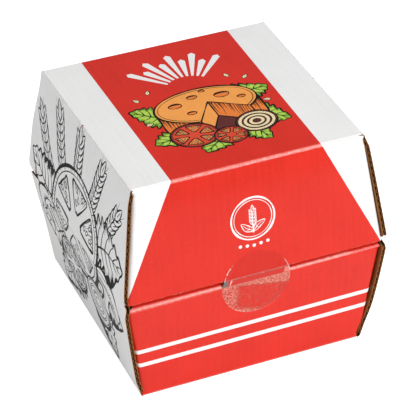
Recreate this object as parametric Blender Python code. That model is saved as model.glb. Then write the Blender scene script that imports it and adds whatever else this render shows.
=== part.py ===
"""A shut corrugated burger carton with a round clear seal across its front seam.

Metres, +Z up, the carton's front towards -Y. The origin is the middle of the base, on the surface it
stands on. The carton is shut and full, so the lid and the tray are solid. Their side walls stand a
little proud of the front and back panels, and the lid's panels stop just above the tray's rim.
"""

import math

import bmesh
import bpy
from mathutils import Vector

# Overall size
HEIGHT = 0.0998
TOP_WIDTH = 0.1004
TOP_DEPTH = 0.0994
SEAM_WIDTH = 0.1152
SEAM_DEPTH = 0.1140
BASE_WIDTH = 0.0988
BASE_DEPTH = 0.1048

# The board and where its edges end
BOARD = 0.0017
SEAM_HEIGHT = 0.0500
LID_SIDE_EDGE = 0.0507
TRAY_SIDE_RIM = 0.0500
LID_PANEL_EDGE = 0.0493
TRAY_PANEL_RIM = 0.0489
SIDE_PROUD = 0.0015
PANEL_END_GAP = 0.0005

# The filling that joins each half into one solid
FILLING_INTO_WALL = 0.0004
FILLING_BEHIND_FOLD = 0.0015
FILLING_BEHIND_SEAM = 0.0040
LID_FILLING_END = 0.0504

# Folds and cut corners
TOP_FOLD_RADIUS = 0.0014
SIDE_FOLD_RADIUS = 0.0007
PANEL_END_RADIUS = 0.0019
RIM_ROLL_RADIUS = 0.0017
SIDE_RIM_RADIUS = 0.0009
LID_CUT_RADIUS = 0.0003
BASE_FOLD_RADIUS = 0.0009
SIDE_CORNER_RADIUS = 0.0024
FOLD_SEGMENTS = 3
SIDE_EDGE_SEGMENTS = 2
CORNER_SEGMENTS = 5

# The clear seal
SEAL_RADIUS = 0.0150
SEAL_OFFSET_X = 0.0004
SEAL_DROP = 0.0042
SEAL_THICKNESS = 0.0002
SEAL_CLEARANCE = 0.0003
SEAL_ROWS = 22
SEAL_COLUMNS = 10
LEAST_ROW_STEP = 0.0003

# Looks
RED_INK = (0.78, 0.045, 0.030)
RED_INK_ROUGHNESS = 0.35
CLEAR_FILM = (0.86, 0.62, 0.58)
CLEAR_FILM_ROUGHNESS = 0.15
SHARP_ANGLE = math.radians(25)

# How near two heights or widths have to be to count as the same
SAME = 0.00001


def material(name, colour, roughness):
    """A plain Principled BSDF of one colour."""
    made = bpy.data.materials.new(name)
    made.use_nodes = True
    shader = made.node_tree.nodes["Principled BSDF"]
    shader.inputs["Base Color"].default_value = (*colour, 1.0)
    shader.inputs["Roughness"].default_value = roughness
    shader.inputs["Metallic"].default_value = 0.0
    return made


def blend(low, high, share):
    """The value that share of the way from low to high is."""
    return low + (high - low) * share


class Half:
    """The lid or the tray: a frustum from its flat panel out to the seam."""

    def __init__(self, flat_width, flat_depth, flat_z):
        self.flat_width = flat_width
        self.flat_depth = flat_depth
        self.flat_z = flat_z

    def share(self, z):
        """How far height z is from the flat panel towards the seam."""
        return (z - self.flat_z) / (SEAM_HEIGHT - self.flat_z)

    def side_x(self, z):
        """Half the width across the side walls' outer faces at height z."""
        return blend(self.flat_width, SEAM_WIDTH, self.share(z)) / 2

    def side_y(self, z):
        """Half the depth from front to back along the side walls' edges at height z."""
        return blend(self.flat_depth, SEAM_DEPTH, self.share(z)) / 2

    def panel_y(self, z):
        """Half the depth across the front and back panels at height z."""
        return self.side_y(z) - SIDE_PROUD * self.share(z)

    def side_normal(self):
        """The outward normal of the right side wall."""
        run = self.side_x(SEAM_HEIGHT) - self.side_x(self.flat_z)
        rise = SEAM_HEIGHT - self.flat_z
        normal = Vector((rise, 0.0, -run))
        return normal.normalized() * math.copysign(1.0, rise)

    def inner_x(self, z):
        """Half the distance between the side walls' inner faces at height z."""
        return self.side_x(z) - BOARD / self.side_normal().x

    def panel_x(self, z):
        """Half the width of the front and back panels at height z, which end just short of the side walls."""
        return self.inner_x(z) - PANEL_END_GAP

    def filling_x(self, z):
        """Half the width of the filling, which reaches a little into the side walls."""
        return self.inner_x(z) + FILLING_INTO_WALL

    def filling_y(self, z):
        """Half the depth of the filling, which stays behind the front and back panels' faces."""
        return self.panel_y(z) - blend(FILLING_BEHIND_FOLD, FILLING_BEHIND_SEAM, self.share(z))


LID = Half(TOP_WIDTH, TOP_DEPTH, HEIGHT)
TRAY = Half(BASE_WIDTH, BASE_DEPTH, 0.0)


def mesh_object(name, shape):
    """Turns a bmesh into a linked object with its faces pointing out."""
    bmesh.ops.recalc_face_normals(shape, faces=shape.faces)
    mesh = bpy.data.meshes.new(name)
    shape.to_mesh(mesh)
    shape.free()
    made = bpy.data.objects.new(name, mesh)
    bpy.context.scene.collection.objects.link(made)
    return made


def round_edges(shape, chosen, radius, segments):
    """Rounds each edge of the bmesh for which chosen(start, end) is true."""
    edges = [edge for edge in shape.edges if chosen(edge.verts[0].co, edge.verts[1].co)]
    bmesh.ops.bevel(
        shape,
        geom=edges,
        offset=radius,
        offset_type="OFFSET",
        segments=segments,
        profile=0.5,
        affect="EDGES",
    )


def block(levels):
    """A closed six-sided shape between two levels, each given as (half width, half depth, height)."""
    shape = bmesh.new()
    low, high = (
        [shape.verts.new(corner) for corner in ((-x, -y, z), (x, -y, z), (x, y, z), (-x, y, z))]
        for x, y, z in levels
    )
    shape.faces.new(low)
    shape.faces.new(high)
    for i in range(4):
        shape.faces.new((low[i - 1], low[i], high[i], high[i - 1]))
    return shape


def filling(name, half, end_z):
    """What joins the panels and the side walls of one half, from its flat panel to end_z."""
    levels = [(half.filling_x(z), half.filling_y(z), z) for z in (half.flat_z, end_z)]
    return mesh_object(name, block(levels))


def panels(name, half, cut_z, flat_radius, cut_radius):
    """The flat panel with the front and back panels folded from it, down to their cut edges at cut_z."""
    shape = block([(half.panel_x(z), half.panel_y(z), z) for z in (half.flat_z, cut_z)])

    def end_fold(start, end):
        return start.z != end.z

    def long_fold(start, end):
        across = start.z == end.z and start.y == end.y
        return across and abs(start.z - half.flat_z) < BOARD

    def rim(start, end):
        across = start.z == end.z and start.y == end.y
        return across and abs(start.z - cut_z) < BOARD

    round_edges(shape, end_fold, PANEL_END_RADIUS, FOLD_SEGMENTS)
    round_edges(shape, long_fold, flat_radius, FOLD_SEGMENTS)
    if cut_radius:
        round_edges(shape, rim, cut_radius, FOLD_SEGMENTS)
    return mesh_object(name, shape)


def side_outline(half, cut_z):
    """The side wall's outline as (y, z) points, with its two corners at the cut edge rounded."""
    points = [(-half.side_y(half.flat_z), half.flat_z)]
    away = math.copysign(1.0, half.flat_z - cut_z)
    centre_y = half.side_y(cut_z) - SIDE_CORNER_RADIUS
    centre_z = cut_z + away * SIDE_CORNER_RADIUS
    turns = [math.pi / 2 * step / CORNER_SEGMENTS for step in range(CORNER_SEGMENTS + 1)]
    for turn in turns:
        y = -centre_y - SIDE_CORNER_RADIUS * math.cos(turn)
        points.append((y, centre_z - away * SIDE_CORNER_RADIUS * math.sin(turn)))
    for turn in reversed(turns):
        y = centre_y + SIDE_CORNER_RADIUS * math.cos(turn)
        points.append((y, centre_z - away * SIDE_CORNER_RADIUS * math.sin(turn)))
    points.append((half.side_y(half.flat_z), half.flat_z))
    return points


def side_wall(name, half, cut_z, cut_radius, side):
    """One side wall of board, on the right for side 1 and on the left for side -1."""
    shape = bmesh.new()
    inward = half.side_normal() * -BOARD
    outer = []
    inner = []
    for y, z in side_outline(half, cut_z):
        corner = Vector((half.side_x(z), y, z))
        behind = corner + inward
        if z == half.flat_z:
            behind.z = half.flat_z
        outer.append(shape.verts.new((side * corner.x, corner.y, corner.z)))
        inner.append(shape.verts.new((side * behind.x, behind.y, behind.z)))
    shape.faces.new(outer)
    shape.faces.new(list(reversed(inner)))
    for i in range(len(outer)):
        shape.faces.new((outer[i - 1], outer[i], inner[i], inner[i - 1]))

    for edge_z, radius in ((half.flat_z, SIDE_FOLD_RADIUS), (cut_z, cut_radius)):
        place = Vector((side * half.side_x(edge_z), edge_z))

        def outer_edge(start, end):
            return all((end_point.xz - place).length < SAME for end_point in (start, end))

        round_edges(shape, outer_edge, radius, SIDE_EDGE_SEGMENTS)
    return mesh_object(name, shape)


def union(name, pieces, look):
    """Joins the pieces into one solid named name, and removes them."""
    group = bpy.data.collections.new(name + "_pieces")
    for piece in pieces[1:]:
        bpy.context.scene.collection.objects.unlink(piece)
        group.objects.link(piece)
    whole = pieces[0]
    whole.name = name
    whole.data.name = name
    join = whole.modifiers.new("union", "BOOLEAN")
    join.operation = "UNION"
    join.operand_type = "COLLECTION"
    join.collection = group
    join.solver = "EXACT"
    bpy.context.view_layer.update()
    joined = bpy.data.meshes.new_from_object(whole.evaluated_get(bpy.context.evaluated_depsgraph_get()))
    whole.modifiers.remove(join)
    whole.data = joined
    joined.materials.clear()
    joined.materials.append(look)
    for piece in pieces[1:]:
        bpy.data.objects.remove(piece)
    bpy.data.collections.remove(group)
    joined.shade_smooth()
    joined.set_sharp_from_angle(angle=SHARP_ANGLE)
    return whole


def make_lid(look):
    """The lid as one solid: panels, filling and two side walls."""
    pieces = [
        panels("lid_panels", LID, LID_PANEL_EDGE, TOP_FOLD_RADIUS, 0.0),
        filling("lid_filling", LID, LID_FILLING_END),
        side_wall("lid_left", LID, LID_SIDE_EDGE, LID_CUT_RADIUS, -1),
        side_wall("lid_right", LID, LID_SIDE_EDGE, LID_CUT_RADIUS, 1),
    ]
    return union("lid", pieces, look)


def make_tray(look):
    """The tray as one solid: panels with a rolled rim, filling and two side walls."""
    pieces = [
        panels("tray_panels", TRAY, TRAY_PANEL_RIM, BASE_FOLD_RADIUS, RIM_ROLL_RADIUS),
        filling("tray_filling", TRAY, TRAY_PANEL_RIM - RIM_ROLL_RADIUS),
        side_wall("tray_left", TRAY, TRAY_SIDE_RIM, SIDE_RIM_RADIUS, -1),
        side_wall("tray_right", TRAY, TRAY_SIDE_RIM, SIDE_RIM_RADIUS, 1),
    ]
    return union("tray", pieces, look)


def panel_direction(half):
    """The unit direction in the front panel's plane that runs up, and the plane's outward normal."""
    low = Vector((0.0, -half.panel_y(0.0), 0.0))
    high = Vector((0.0, -half.panel_y(HEIGHT), HEIGHT))
    up = (high - low).normalized()
    return up, Vector((0.0, -up.z, up.y))


def seal_path():
    """The seal's path down the front as corner points: along the lid, across the seam, along the tray."""
    lid_up, lid_out = panel_direction(LID)
    tray_up, tray_out = panel_direction(TRAY)
    lid_foot = Vector((0.0, -LID.panel_y(LID_PANEL_EDGE), LID_PANEL_EDGE)) + lid_out * SEAL_CLEARANCE
    rim_z = TRAY_PANEL_RIM - RIM_ROLL_RADIUS
    tray_head = Vector((0.0, -TRAY.panel_y(rim_z), rim_z)) + tray_out * SEAL_CLEARANCE
    return [lid_foot + lid_up * 2 * SEAL_RADIUS, lid_foot, tray_head, tray_head - tray_up * 2 * SEAL_RADIUS]


def along(path, distance):
    """The point at a distance along the path, and the outward direction there."""
    for start, end in zip(path, path[1:]):
        length = (end - start).length
        if distance <= length or end is path[-1]:
            down = (end - start) / length
            return start + down * distance, Vector((0.0, down.z, -down.y))
        distance -= length
    raise ValueError("the path has no length")


def border(grid):
    """The points round a grid's edge, in order."""
    left = [row[0] for row in grid]
    right = [row[-1] for row in reversed(grid)]
    return left[:-1] + grid[-1][:-1] + right[:-1] + grid[0][:0:-1]


def make_seal(look):
    """The round film, bent over the seam and clear of the board by a hair."""
    path = seal_path()
    first_bend = (path[1] - path[0]).length
    bends = [first_bend, first_bend + (path[2] - path[1]).length]
    centre = first_bend + SEAL_DROP
    rows = [centre - SEAL_RADIUS * math.cos(math.pi * step / SEAL_ROWS) for step in range(1, SEAL_ROWS)]
    rows = sorted([row for row in rows if min(abs(row - bend) for bend in bends) > LEAST_ROW_STEP] + bends)
    shape = bmesh.new()
    grids = []
    for level in (0.0, SEAL_THICKNESS):
        grid = []
        for row in rows:
            point, out = along(path, row)
            half_chord = math.sqrt(SEAL_RADIUS**2 - (row - centre) ** 2)
            grid.append([])
            for column in range(SEAL_COLUMNS + 1):
                across = Vector((SEAL_OFFSET_X + half_chord * (2 * column / SEAL_COLUMNS - 1), 0.0, 0.0))
                grid[-1].append(shape.verts.new(point + out * level + across))
        grids.append(grid)
        for upper, lower in zip(grid, grid[1:]):
            for column in range(SEAL_COLUMNS):
                shape.faces.new((upper[column], upper[column + 1], lower[column + 1], lower[column]))
    inner, outer = (border(grid) for grid in grids)
    for i in range(len(inner)):
        shape.faces.new((inner[i - 1], inner[i], outer[i], outer[i - 1]))
    seal = mesh_object("seal", shape)
    seal.data.materials.append(look)
    return seal


def main():
    """Clears the scene and builds the carton."""
    for old in list(bpy.data.objects):
        bpy.data.objects.remove(old)
    printed = material("printed_board", RED_INK, RED_INK_ROUGHNESS)
    make_lid(printed)
    make_tray(printed)
    make_seal(material("clear_film", CLEAR_FILM, CLEAR_FILM_ROUGHNESS))


main()
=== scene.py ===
"""The looks of a shut, burger-shaped gift carton of printed corrugated board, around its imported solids.

Every length in this file is in millimetres, in the frame of the solids: +Z up, the sealed front towards -Y
and the origin in the middle of the base. Lengths become metres where a mesh, a lamp or the camera is made.
A flat place is a point on a sheet before it is folded: across and along for the panels in line from front to
back, and rightwards and upwards for a side wall as someone facing that wall sees it.
"""

from __future__ import annotations

import logging
import math
import random
from dataclasses import dataclass, field
from enum import Enum
from typing import Callable, Sequence

import bpy
import numpy as np
from mathutils import Matrix, Vector
from mathutils.geometry import delaunay_2d_cdt

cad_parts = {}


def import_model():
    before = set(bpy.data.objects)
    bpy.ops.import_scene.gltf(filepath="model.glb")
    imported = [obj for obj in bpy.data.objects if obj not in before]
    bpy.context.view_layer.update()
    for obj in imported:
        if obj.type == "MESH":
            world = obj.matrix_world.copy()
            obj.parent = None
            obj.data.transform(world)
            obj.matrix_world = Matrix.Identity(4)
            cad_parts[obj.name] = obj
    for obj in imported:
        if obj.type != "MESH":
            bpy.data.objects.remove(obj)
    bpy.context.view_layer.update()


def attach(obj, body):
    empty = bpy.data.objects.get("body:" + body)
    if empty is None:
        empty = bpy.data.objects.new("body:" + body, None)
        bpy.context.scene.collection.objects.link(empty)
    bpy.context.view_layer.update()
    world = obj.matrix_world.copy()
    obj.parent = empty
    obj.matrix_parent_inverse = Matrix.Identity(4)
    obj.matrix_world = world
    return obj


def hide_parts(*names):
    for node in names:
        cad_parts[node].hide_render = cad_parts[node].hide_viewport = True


MM = 0.001

Array = np.ndarray
Placer = Callable[[Array], Array]
Point = tuple[float, float]
Tone = tuple[float, float, float]
Net = tuple[Array, Array]

# How far apart the board's flutes are.
FLUTE_PITCH = 3.0
# How finely a sheet's outline, its creases and the rows of points inside its edge are divided.
OUTLINE_STEP = 2.5
CREASE_STEP = 4.0
INSET_STEP = 3.0
# How far to each side of a point a sheet's slope is measured.
SLOPE_STEP = 0.02
# The distance within which a net's points are joined, its smallest triangle, and what counts as nothing.
WELD = 1e-5
SLIVER = 1e-9
TINY = 1e-12
# The distance that a sheet without creases notes.
FAR = 99.0
WHITE = (1.0, 1.0, 1.0, 1.0)


class Ink(Enum):
    """What shows on a face of a sheet: bare coated board, a printed colour, brown paper, or paper darkened as
    painted shade.
    """

    BOARD = "coated_board"
    RED = "red_ink"
    BLACK = "black_ink"
    ORANGE = "orange_ink"
    AMBER = "amber_ink"
    TOMATO = "tomato_ink"
    MAROON = "maroon_ink"
    LEAF = "leaf_ink"
    LIME = "lime_ink"
    CREAM = "cream_ink"
    KRAFT = "kraft_paper"
    # The inside of the board, its flutes and inner face, in near-black paper: painted shade.
    FLUTE_SHADE = "flute_paper_shade"
    CUT = "cut_board_edge"
    FILM = "clear_film"


Looks = dict[Ink, bpy.types.Material]


@dataclass(frozen=True)
class HalfSizes:
    """The lid or the tray as a frustum from its flat panel out to the seam."""

    flat_width: float
    flat_depth: float
    flat_height: float
    side_edge: float
    panel_edge: float
    seam_width: float = 115.2
    seam_depth: float = 114.0
    seam_height: float = 50.0
    side_proud: float = 1.5
    board: float = 1.7
    end_gap: float = 0.5

    def share(self, height: Array | float) -> Array | float:
        """How far a height is from the flat panel towards the seam."""
        return (height - self.flat_height) / (self.seam_height - self.flat_height)

    def side_x(self, height: Array | float) -> Array | float:
        """Half the width across the side walls at a height."""
        return (self.flat_width + (self.seam_width - self.flat_width) * self.share(height)) / 2

    def side_y(self, height: Array | float) -> Array | float:
        """Half the depth along the side walls at a height."""
        return (self.flat_depth + (self.seam_depth - self.flat_depth) * self.share(height)) / 2

    def panel_y(self, height: Array | float) -> Array | float:
        """Half the depth across the front and back panels at a height."""
        return self.side_y(height) - self.side_proud * self.share(height)

    def panel_x(self, height: Array | float) -> Array | float:
        """Half the width of the front and back panels at a height, just short of the side walls."""
        return self.side_x(height) - self.board - self.end_gap


LID = HalfSizes(flat_width=100.4, flat_depth=99.4, flat_height=99.8, side_edge=50.5, panel_edge=49.6)
TRAY = HalfSizes(flat_width=98.8, flat_depth=104.8, flat_height=0.0, side_edge=50.3, panel_edge=48.1)


@dataclass(frozen=True)
class Slack:
    """How the real board has bowed out of its flat panels, as a smooth move of every point."""

    crown: float = 0.35
    bow: float = 0.24
    ripple: float = 0.10
    ripple_length: float = 46.0
    ripple_start: float = 1.3
    back_left: float = 1.5
    back_right: float = 0.7
    back_out: float = 0.5
    back_top: float = 78.0
    foot: float = 0.55
    foot_top: float = 24.0

    def move(self, points: Array) -> Array:
        """Moves points out with the board.

        Args:
            points: places in the carton's frame, one row each.

        Returns:
            The places after the move.
        """
        x, y, z = points.T
        half = LID.seam_width / 2
        low = np.clip(z / LID.side_edge, 0.0, 1.0)
        high = np.clip((z - LID.side_edge) / (LID.flat_height - LID.side_edge), 0.0, 1.0)
        rightness, backness = np.clip(x / half, -1.0, 1.0), np.clip(y / half, -1.0, 1.0)
        middle_x, middle_y = 1.0 - rightness**2, 1.0 - backness**2
        wall = 4.0 * np.where(z > LID.side_edge, high * (1 - high), low * (1 - low))
        wave = np.sin(x / self.ripple_length + self.ripple_start) * np.cos((y + z) / self.ripple_length)
        behind = ease(z, LID.side_edge, self.back_top) * (1 + backness) / 2
        spread = 1 - ease(z, 0.0, self.foot_top)
        moved = points.copy()
        moved[:, 0] += behind * np.where(x < 0, self.back_left, self.back_right) * rightness
        moved[:, 0] += self.foot * spread * np.minimum(rightness, 0.0)
        moved[:, 1] += behind * self.back_out * np.maximum(backness, 0.0)
        moved[:, 1] += self.foot * spread * np.minimum(backness, 0.0)
        moved[:, 1] += (self.bow * wall * middle_x + self.ripple * wave * low) * y / half
        moved[:, 2] += self.crown * middle_x * middle_y * high**4 + self.ripple * wave * middle_x * high
        return moved


SLACK = Slack()


@dataclass(frozen=True)
class FoldedPath:
    """Straight stretches joined by rounded folds, in a plane square to the folds.

    The outward side is on the left of the direction of travel.
    """

    corners: tuple[Point, ...]
    radii: tuple[float, ...]

    def ends(self) -> Array:
        """How far along the path each corner is, the first being 0."""
        steps = np.diff(np.array(self.corners, float), axis=0)
        return np.concatenate([[0.0], np.cumsum(np.hypot(*steps.T))])

    def turn(self, corner: int) -> float:
        """The angle that the path turns by at an inner corner, leftwards positive."""
        steps = np.diff(np.array(self.corners, float), axis=0)
        before, after = steps[corner - 1], steps[corner]
        return math.atan2(before[0] * after[1] - before[1] * after[0], float(before @ after))

    def reach(self, corner: int) -> float:
        """How far from an inner corner its rounding starts."""
        return self.radii[corner - 1] * math.tan(abs(self.turn(corner)) / 2)

    def place(self, along: Array) -> tuple[Array, Array]:
        """Puts distances along the path on it.

        Args:
            along: distances from the first corner, measured along the sharp corners.

        Returns:
            The points, and the outward directions there, one row each.
        """
        corners = np.array(self.corners, float)
        ends = self.ends()
        ways = unit(np.diff(corners, axis=0))
        leg = np.clip(np.searchsorted(ends, along, side="right") - 1, 0, len(ways) - 1)
        points = corners[leg] + ways[leg] * (along - ends[leg])[:, None]
        outward = leftward(ways[leg])
        for corner, radius in enumerate(self.radii, start=1):
            turn, reach = self.turn(corner), self.reach(corner)
            near = np.abs(along - ends[corner]) < reach
            if not near.any():
                continue
            side = math.copysign(1.0, turn)
            before = ways[corner - 1]
            out = leftward(before)
            centre = corners[corner] - before * reach + out * radius * side
            angle = turn * (along[near] - ends[corner] + reach) / (2 * reach)
            facing = turned(out[0], out[1], angle)
            points[near] = centre - side * radius * facing
            outward[near] = facing
        return points, outward


def ease(value: Array | float, low: float, high: float) -> Array | float:
    """Goes smoothly from 0 at low to 1 at high."""
    share = np.clip((value - low) / (high - low), 0.0, 1.0)
    return share * share * (3 - 2 * share)


def unit(ways: Array) -> Array:
    """Directions brought to a length of 1."""
    return ways / np.maximum(np.linalg.norm(ways, axis=-1, keepdims=True), np.finfo(float).tiny)


def leftward(ways: Array) -> Array:
    """What lies a quarter turn to the left of flat directions."""
    return np.stack([-ways[..., 1], ways[..., 0]], axis=-1)


def heading(angle: float) -> Array:
    """The flat direction at an angle in radians."""
    return np.array([math.cos(angle), math.sin(angle)])


def turned(x: Array | float, y: Array | float, angle: Array | float) -> Array:
    """Flat places turned leftwards about the origin, one row each."""
    cos, sin = np.cos(angle), np.sin(angle)
    return np.stack([x * cos - y * sin, x * sin + y * cos], axis=-1)


def dense(line: Array, step: float, closed: bool = False) -> Array:
    """Adds points to a line so that none of its stretches is longer than step."""
    ends = np.vstack([line, line[:1]]) if closed else line
    made: list[Array] = []
    for start, end in zip(ends, ends[1:]):
        count = max(1, int(math.ceil(float(np.hypot(*(end - start))) / step)))
        made.append(start + (end - start) * (np.arange(count) / count)[:, None])
    if not closed:
        made.append(line[-1:])
    return np.vstack(made)


def winding(points: Array, loop: Array) -> Array:
    """Says which points are inside a closed loop, by its winding number."""
    x, y = points.T
    start, end = loop, np.roll(loop, -1, axis=0)
    keep = np.abs(end[:, 1] - start[:, 1]) > TINY
    from_x, from_y = start[keep].T[:, :, None]
    to_x, to_y = end[keep].T[:, :, None]
    left = (to_x - from_x) * (y - from_y) - (to_y - from_y) * (x - from_x)
    up = (from_y <= y) & (to_y > y) & (left < 0)
    down = (from_y > y) & (to_y <= y) & (left > 0)
    return (up.sum(axis=0) - down.sum(axis=0)) != 0


def distance_to(points: Array, line: Array, closed: bool = False) -> Array:
    """The distance from each point to the nearest stretch of a line."""
    ends = np.vstack([line, line[:1]]) if closed else line
    nearest = np.full(len(points), np.inf)
    for start, end in zip(ends, ends[1:]):
        step = end - start
        share = np.clip(((points - start) @ step) / max(float(step @ step), TINY), 0.0, 1.0)
        nearest = np.minimum(nearest, np.hypot(*(points - start - share[:, None] * step).T))
    return nearest


def new_object(name: str, data: bpy.types.ID) -> bpy.types.Object:
    """Makes an object and puts it in the scene."""
    made = bpy.data.objects.new(name, data)
    bpy.context.scene.collection.objects.link(made)
    return made


@dataclass(frozen=True)
class Shape:
    """A closed field of one ink on the flat sheet."""

    ink: Ink
    loop: Array


@dataclass
class Sheet:
    """A sheet cut to an outline, printed with shapes in painter's order and folded into place."""

    name: str
    outline: Array
    place: Placer
    thickness: float
    ground: Ink = Ink.BOARD
    back: Ink = Ink.KRAFT
    rim: Ink = Ink.CUT
    shapes: list[Shape] = field(default_factory=list)
    creases: list[Array] = field(default_factory=list)
    guides: list[Array] = field(default_factory=list)
    lift: float = 0.0
    spacing: float = 6.0
    edge_rows: tuple[float, ...] = (0.5, 1.2, 2.6)

    def net(self) -> Net:
        """Triangulates the sheet along its outline, shapes, creases and guides.

        Returns:
            The flat points, and three point numbers for each triangle, anticlockwise.
        """
        points: list[Array] = []
        edges: list[tuple[int, int]] = []
        count = 0
        low, high = self.outline.min(0), self.outline.max(0)

        def add(line: Array, closed: bool) -> None:
            """Adds a line's points, and the edges that join them."""
            nonlocal count
            points.append(line)
            edges.extend((count + i, count + i + 1) for i in range(len(line) - 1))
            if closed:
                edges.append((count + len(line) - 1, count))
            count += len(line)

        add(dense(self.outline, OUTLINE_STEP, closed=True), True)
        for line in self.creases + self.guides:
            add(dense(line, CREASE_STEP), False)
        for shape in self.shapes:
            if (shape.loop.max(0) > low).all() and (shape.loop.min(0) < high).all():
                add(shape.loop, True)
        rows = [np.arange(low[i] + self.spacing / 2, high[i], self.spacing) for i in (0, 1)]
        grid = np.stack(np.meshgrid(*rows), axis=-1).reshape(-1, 2)
        points.append(grid[distance_to(grid, self.outline, closed=True) > self.edge_rows[-1]])
        for inset in self.edge_rows:
            points.append(self.inset(inset))
        flat = [Vector(map(float, point)) for point in np.vstack(points)]
        net_points, _, faces, *_ = delaunay_2d_cdt(flat, edges, [], 0, WELD, False)
        places = np.array([tuple(point) for point in net_points])
        triangles = np.array([face for face in faces if len(face) == 3])
        corner = places[triangles]
        one, two = corner[:, 1] - corner[:, 0], corner[:, 2] - corner[:, 0]
        area = one[:, 0] * two[:, 1] - one[:, 1] * two[:, 0]
        triangles[area < 0] = triangles[area < 0][:, ::-1]
        kept = triangles[(np.abs(area) > SLIVER) & winding(corner.mean(1), self.outline)]
        used, numbers = np.unique(kept, return_inverse=True)
        return places[used], numbers.reshape(-1, 3)

    def inset(self, inset: float) -> Array:
        """Points inside the outline, a given distance from it."""
        loop = dense(self.outline, INSET_STEP, closed=True)
        way = np.roll(loop, -1, axis=0) - np.roll(loop, 1, axis=0)
        moved = loop + leftward(unit(way)) * inset
        clear = distance_to(moved, self.outline, closed=True) > inset * 0.9
        return moved[clear & winding(moved, self.outline)]

    def inks(self, centres: Array) -> Array:
        """The place in the sheet's list of inks for each triangle's centre."""
        names = self.ink_list()
        chosen = np.full(len(centres), names.index(self.ground))
        order = np.argsort(centres[:, 0])
        ordered = centres[order]
        for shape in self.shapes:
            low, high = shape.loop.min(0), shape.loop.max(0)
            first, last = np.searchsorted(ordered[:, 0], [low[0], high[0]])
            near = order[first:last]
            near = near[(centres[near, 1] >= low[1]) & (centres[near, 1] <= high[1])]
            if len(near):
                chosen[near[winding(centres[near], shape.loop)]] = names.index(shape.ink)
        return chosen

    def ink_list(self) -> list[Ink]:
        """The inks that the sheet uses, each once, with those of its back and its cut edge."""
        used = {self.ground, self.back, self.rim} | {shape.ink for shape in self.shapes}
        return [ink for ink in Ink if ink in used]

    def folded(self, flat: Array) -> tuple[Array, Array]:
        """Folds flat points into place.

        Args:
            flat: flat points, one row each.

        Returns:
            Their places on the outer face, and the outward directions there.
        """
        sides = []
        for axis in (0, 1):
            offset = np.zeros(2)
            offset[axis] = SLOPE_STEP
            sides.append(SLACK.move(self.place(flat + offset)) - SLACK.move(self.place(flat - offset)))
        outward = unit(np.cross(*sides))
        return SLACK.move(self.place(flat)) - outward * self.lift, outward

    def build(self, looks: Looks, net: Net | None = None) -> bpy.types.Object:
        """Makes the sheet's object: a closed thin solid whose outer face carries the print.

        Args:
            looks: the material of each ink.
            net: the flat points and triangles, if they are known already.

        Returns:
            The object, at the origin.
        """
        flat, triangles = net or self.net()
        names = self.ink_list()
        outer, outward = self.folded(flat)
        inner = outer - outward * self.thickness
        count = len(flat)
        sides = np.concatenate([triangles[:, [0, 1]], triangles[:, [1, 2]], triangles[:, [2, 0]]])
        keys = np.sort(sides, axis=1) @ np.array([count, 1])
        _, first, uses = np.unique(keys, return_index=True, return_counts=True)
        open_sides = sides[first[uses == 1]]
        start, end = open_sides.T
        halves = (end, start, start + count), (end, start + count, end + count)
        rim = np.vstack([np.column_stack(half) for half in halves])
        faces = np.concatenate([triangles, triangles[:, ::-1] + count, rim])
        places = np.concatenate([outer, inner]) * MM
        mesh = bpy.data.meshes.new(self.name)
        mesh.from_pydata(places.tolist(), [], faces.tolist())
        slots = np.concatenate(
            [
                self.inks(flat[triangles].mean(1)),
                np.full(len(triangles), names.index(self.back)),
                np.full(len(rim), names.index(self.rim)),
            ]
        )
        mesh.polygons.foreach_set("material_index", slots.astype(np.int32))
        mesh.polygons.foreach_set("use_smooth", np.ones(len(faces), bool))
        for ink in names:
            mesh.materials.append(looks[ink])
        corner = places[faces]
        flat_normals = unit(np.cross(corner[:, 1] - corner[:, 0], corner[:, 2] - corner[:, 0]))
        loops = np.repeat(flat_normals, 3, axis=0)
        loops[: 3 * len(triangles)] = outward[triangles.ravel()]
        loops[3 * len(triangles) : 6 * len(triangles)] = -outward[triangles[:, ::-1].ravel()]
        mesh.normals_split_custom_set(loops.tolist())
        self.note(mesh, flat)
        return new_object(self.name, mesh)

    def note(self, mesh: bpy.types.Mesh, flat: Array) -> None:
        """Keeps each point's flat place and its distances to creases and cut edges for the materials."""
        deep = np.repeat([0.0, 1.0], len(flat))
        both = np.vstack([flat, flat])
        crease = np.full(len(flat), FAR)
        for line in self.creases:
            crease = np.minimum(crease, distance_to(flat, line))
        edge = distance_to(flat, self.outline, closed=True)
        for name, kind, values in (
            ("flat_place", "FLOAT_VECTOR", np.column_stack([both, deep])),
            ("crease_distance", "FLOAT", np.tile(crease, 2)),
            ("edge_distance", "FLOAT", np.tile(edge, 2)),
        ):
            attribute = mesh.attributes.new(name, kind, "POINT")
            key = "vector" if kind == "FLOAT_VECTOR" else "value"
            attribute.data.foreach_set(key, values.astype(np.float32).ravel())


class Taper(Enum):
    """How the ends of a pen stroke are drawn."""

    BLUNT = "blunt"
    BOTH = "both"
    TIP = "tip"


def oval(
    centre: Point, radii: Point, count: int = 40, turn: float = 0.0, start: float = 0.0, sweep: float = 360.0
) -> Array:
    """Points round an oval, anticlockwise, the whole loop or a part of it."""
    steps = count if sweep == 360.0 else count - 1
    angles = np.radians(start + sweep * np.arange(count) / steps)
    return np.array(centre) + turned(radii[0] * np.cos(angles), radii[1] * np.sin(angles), math.radians(turn))


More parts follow.
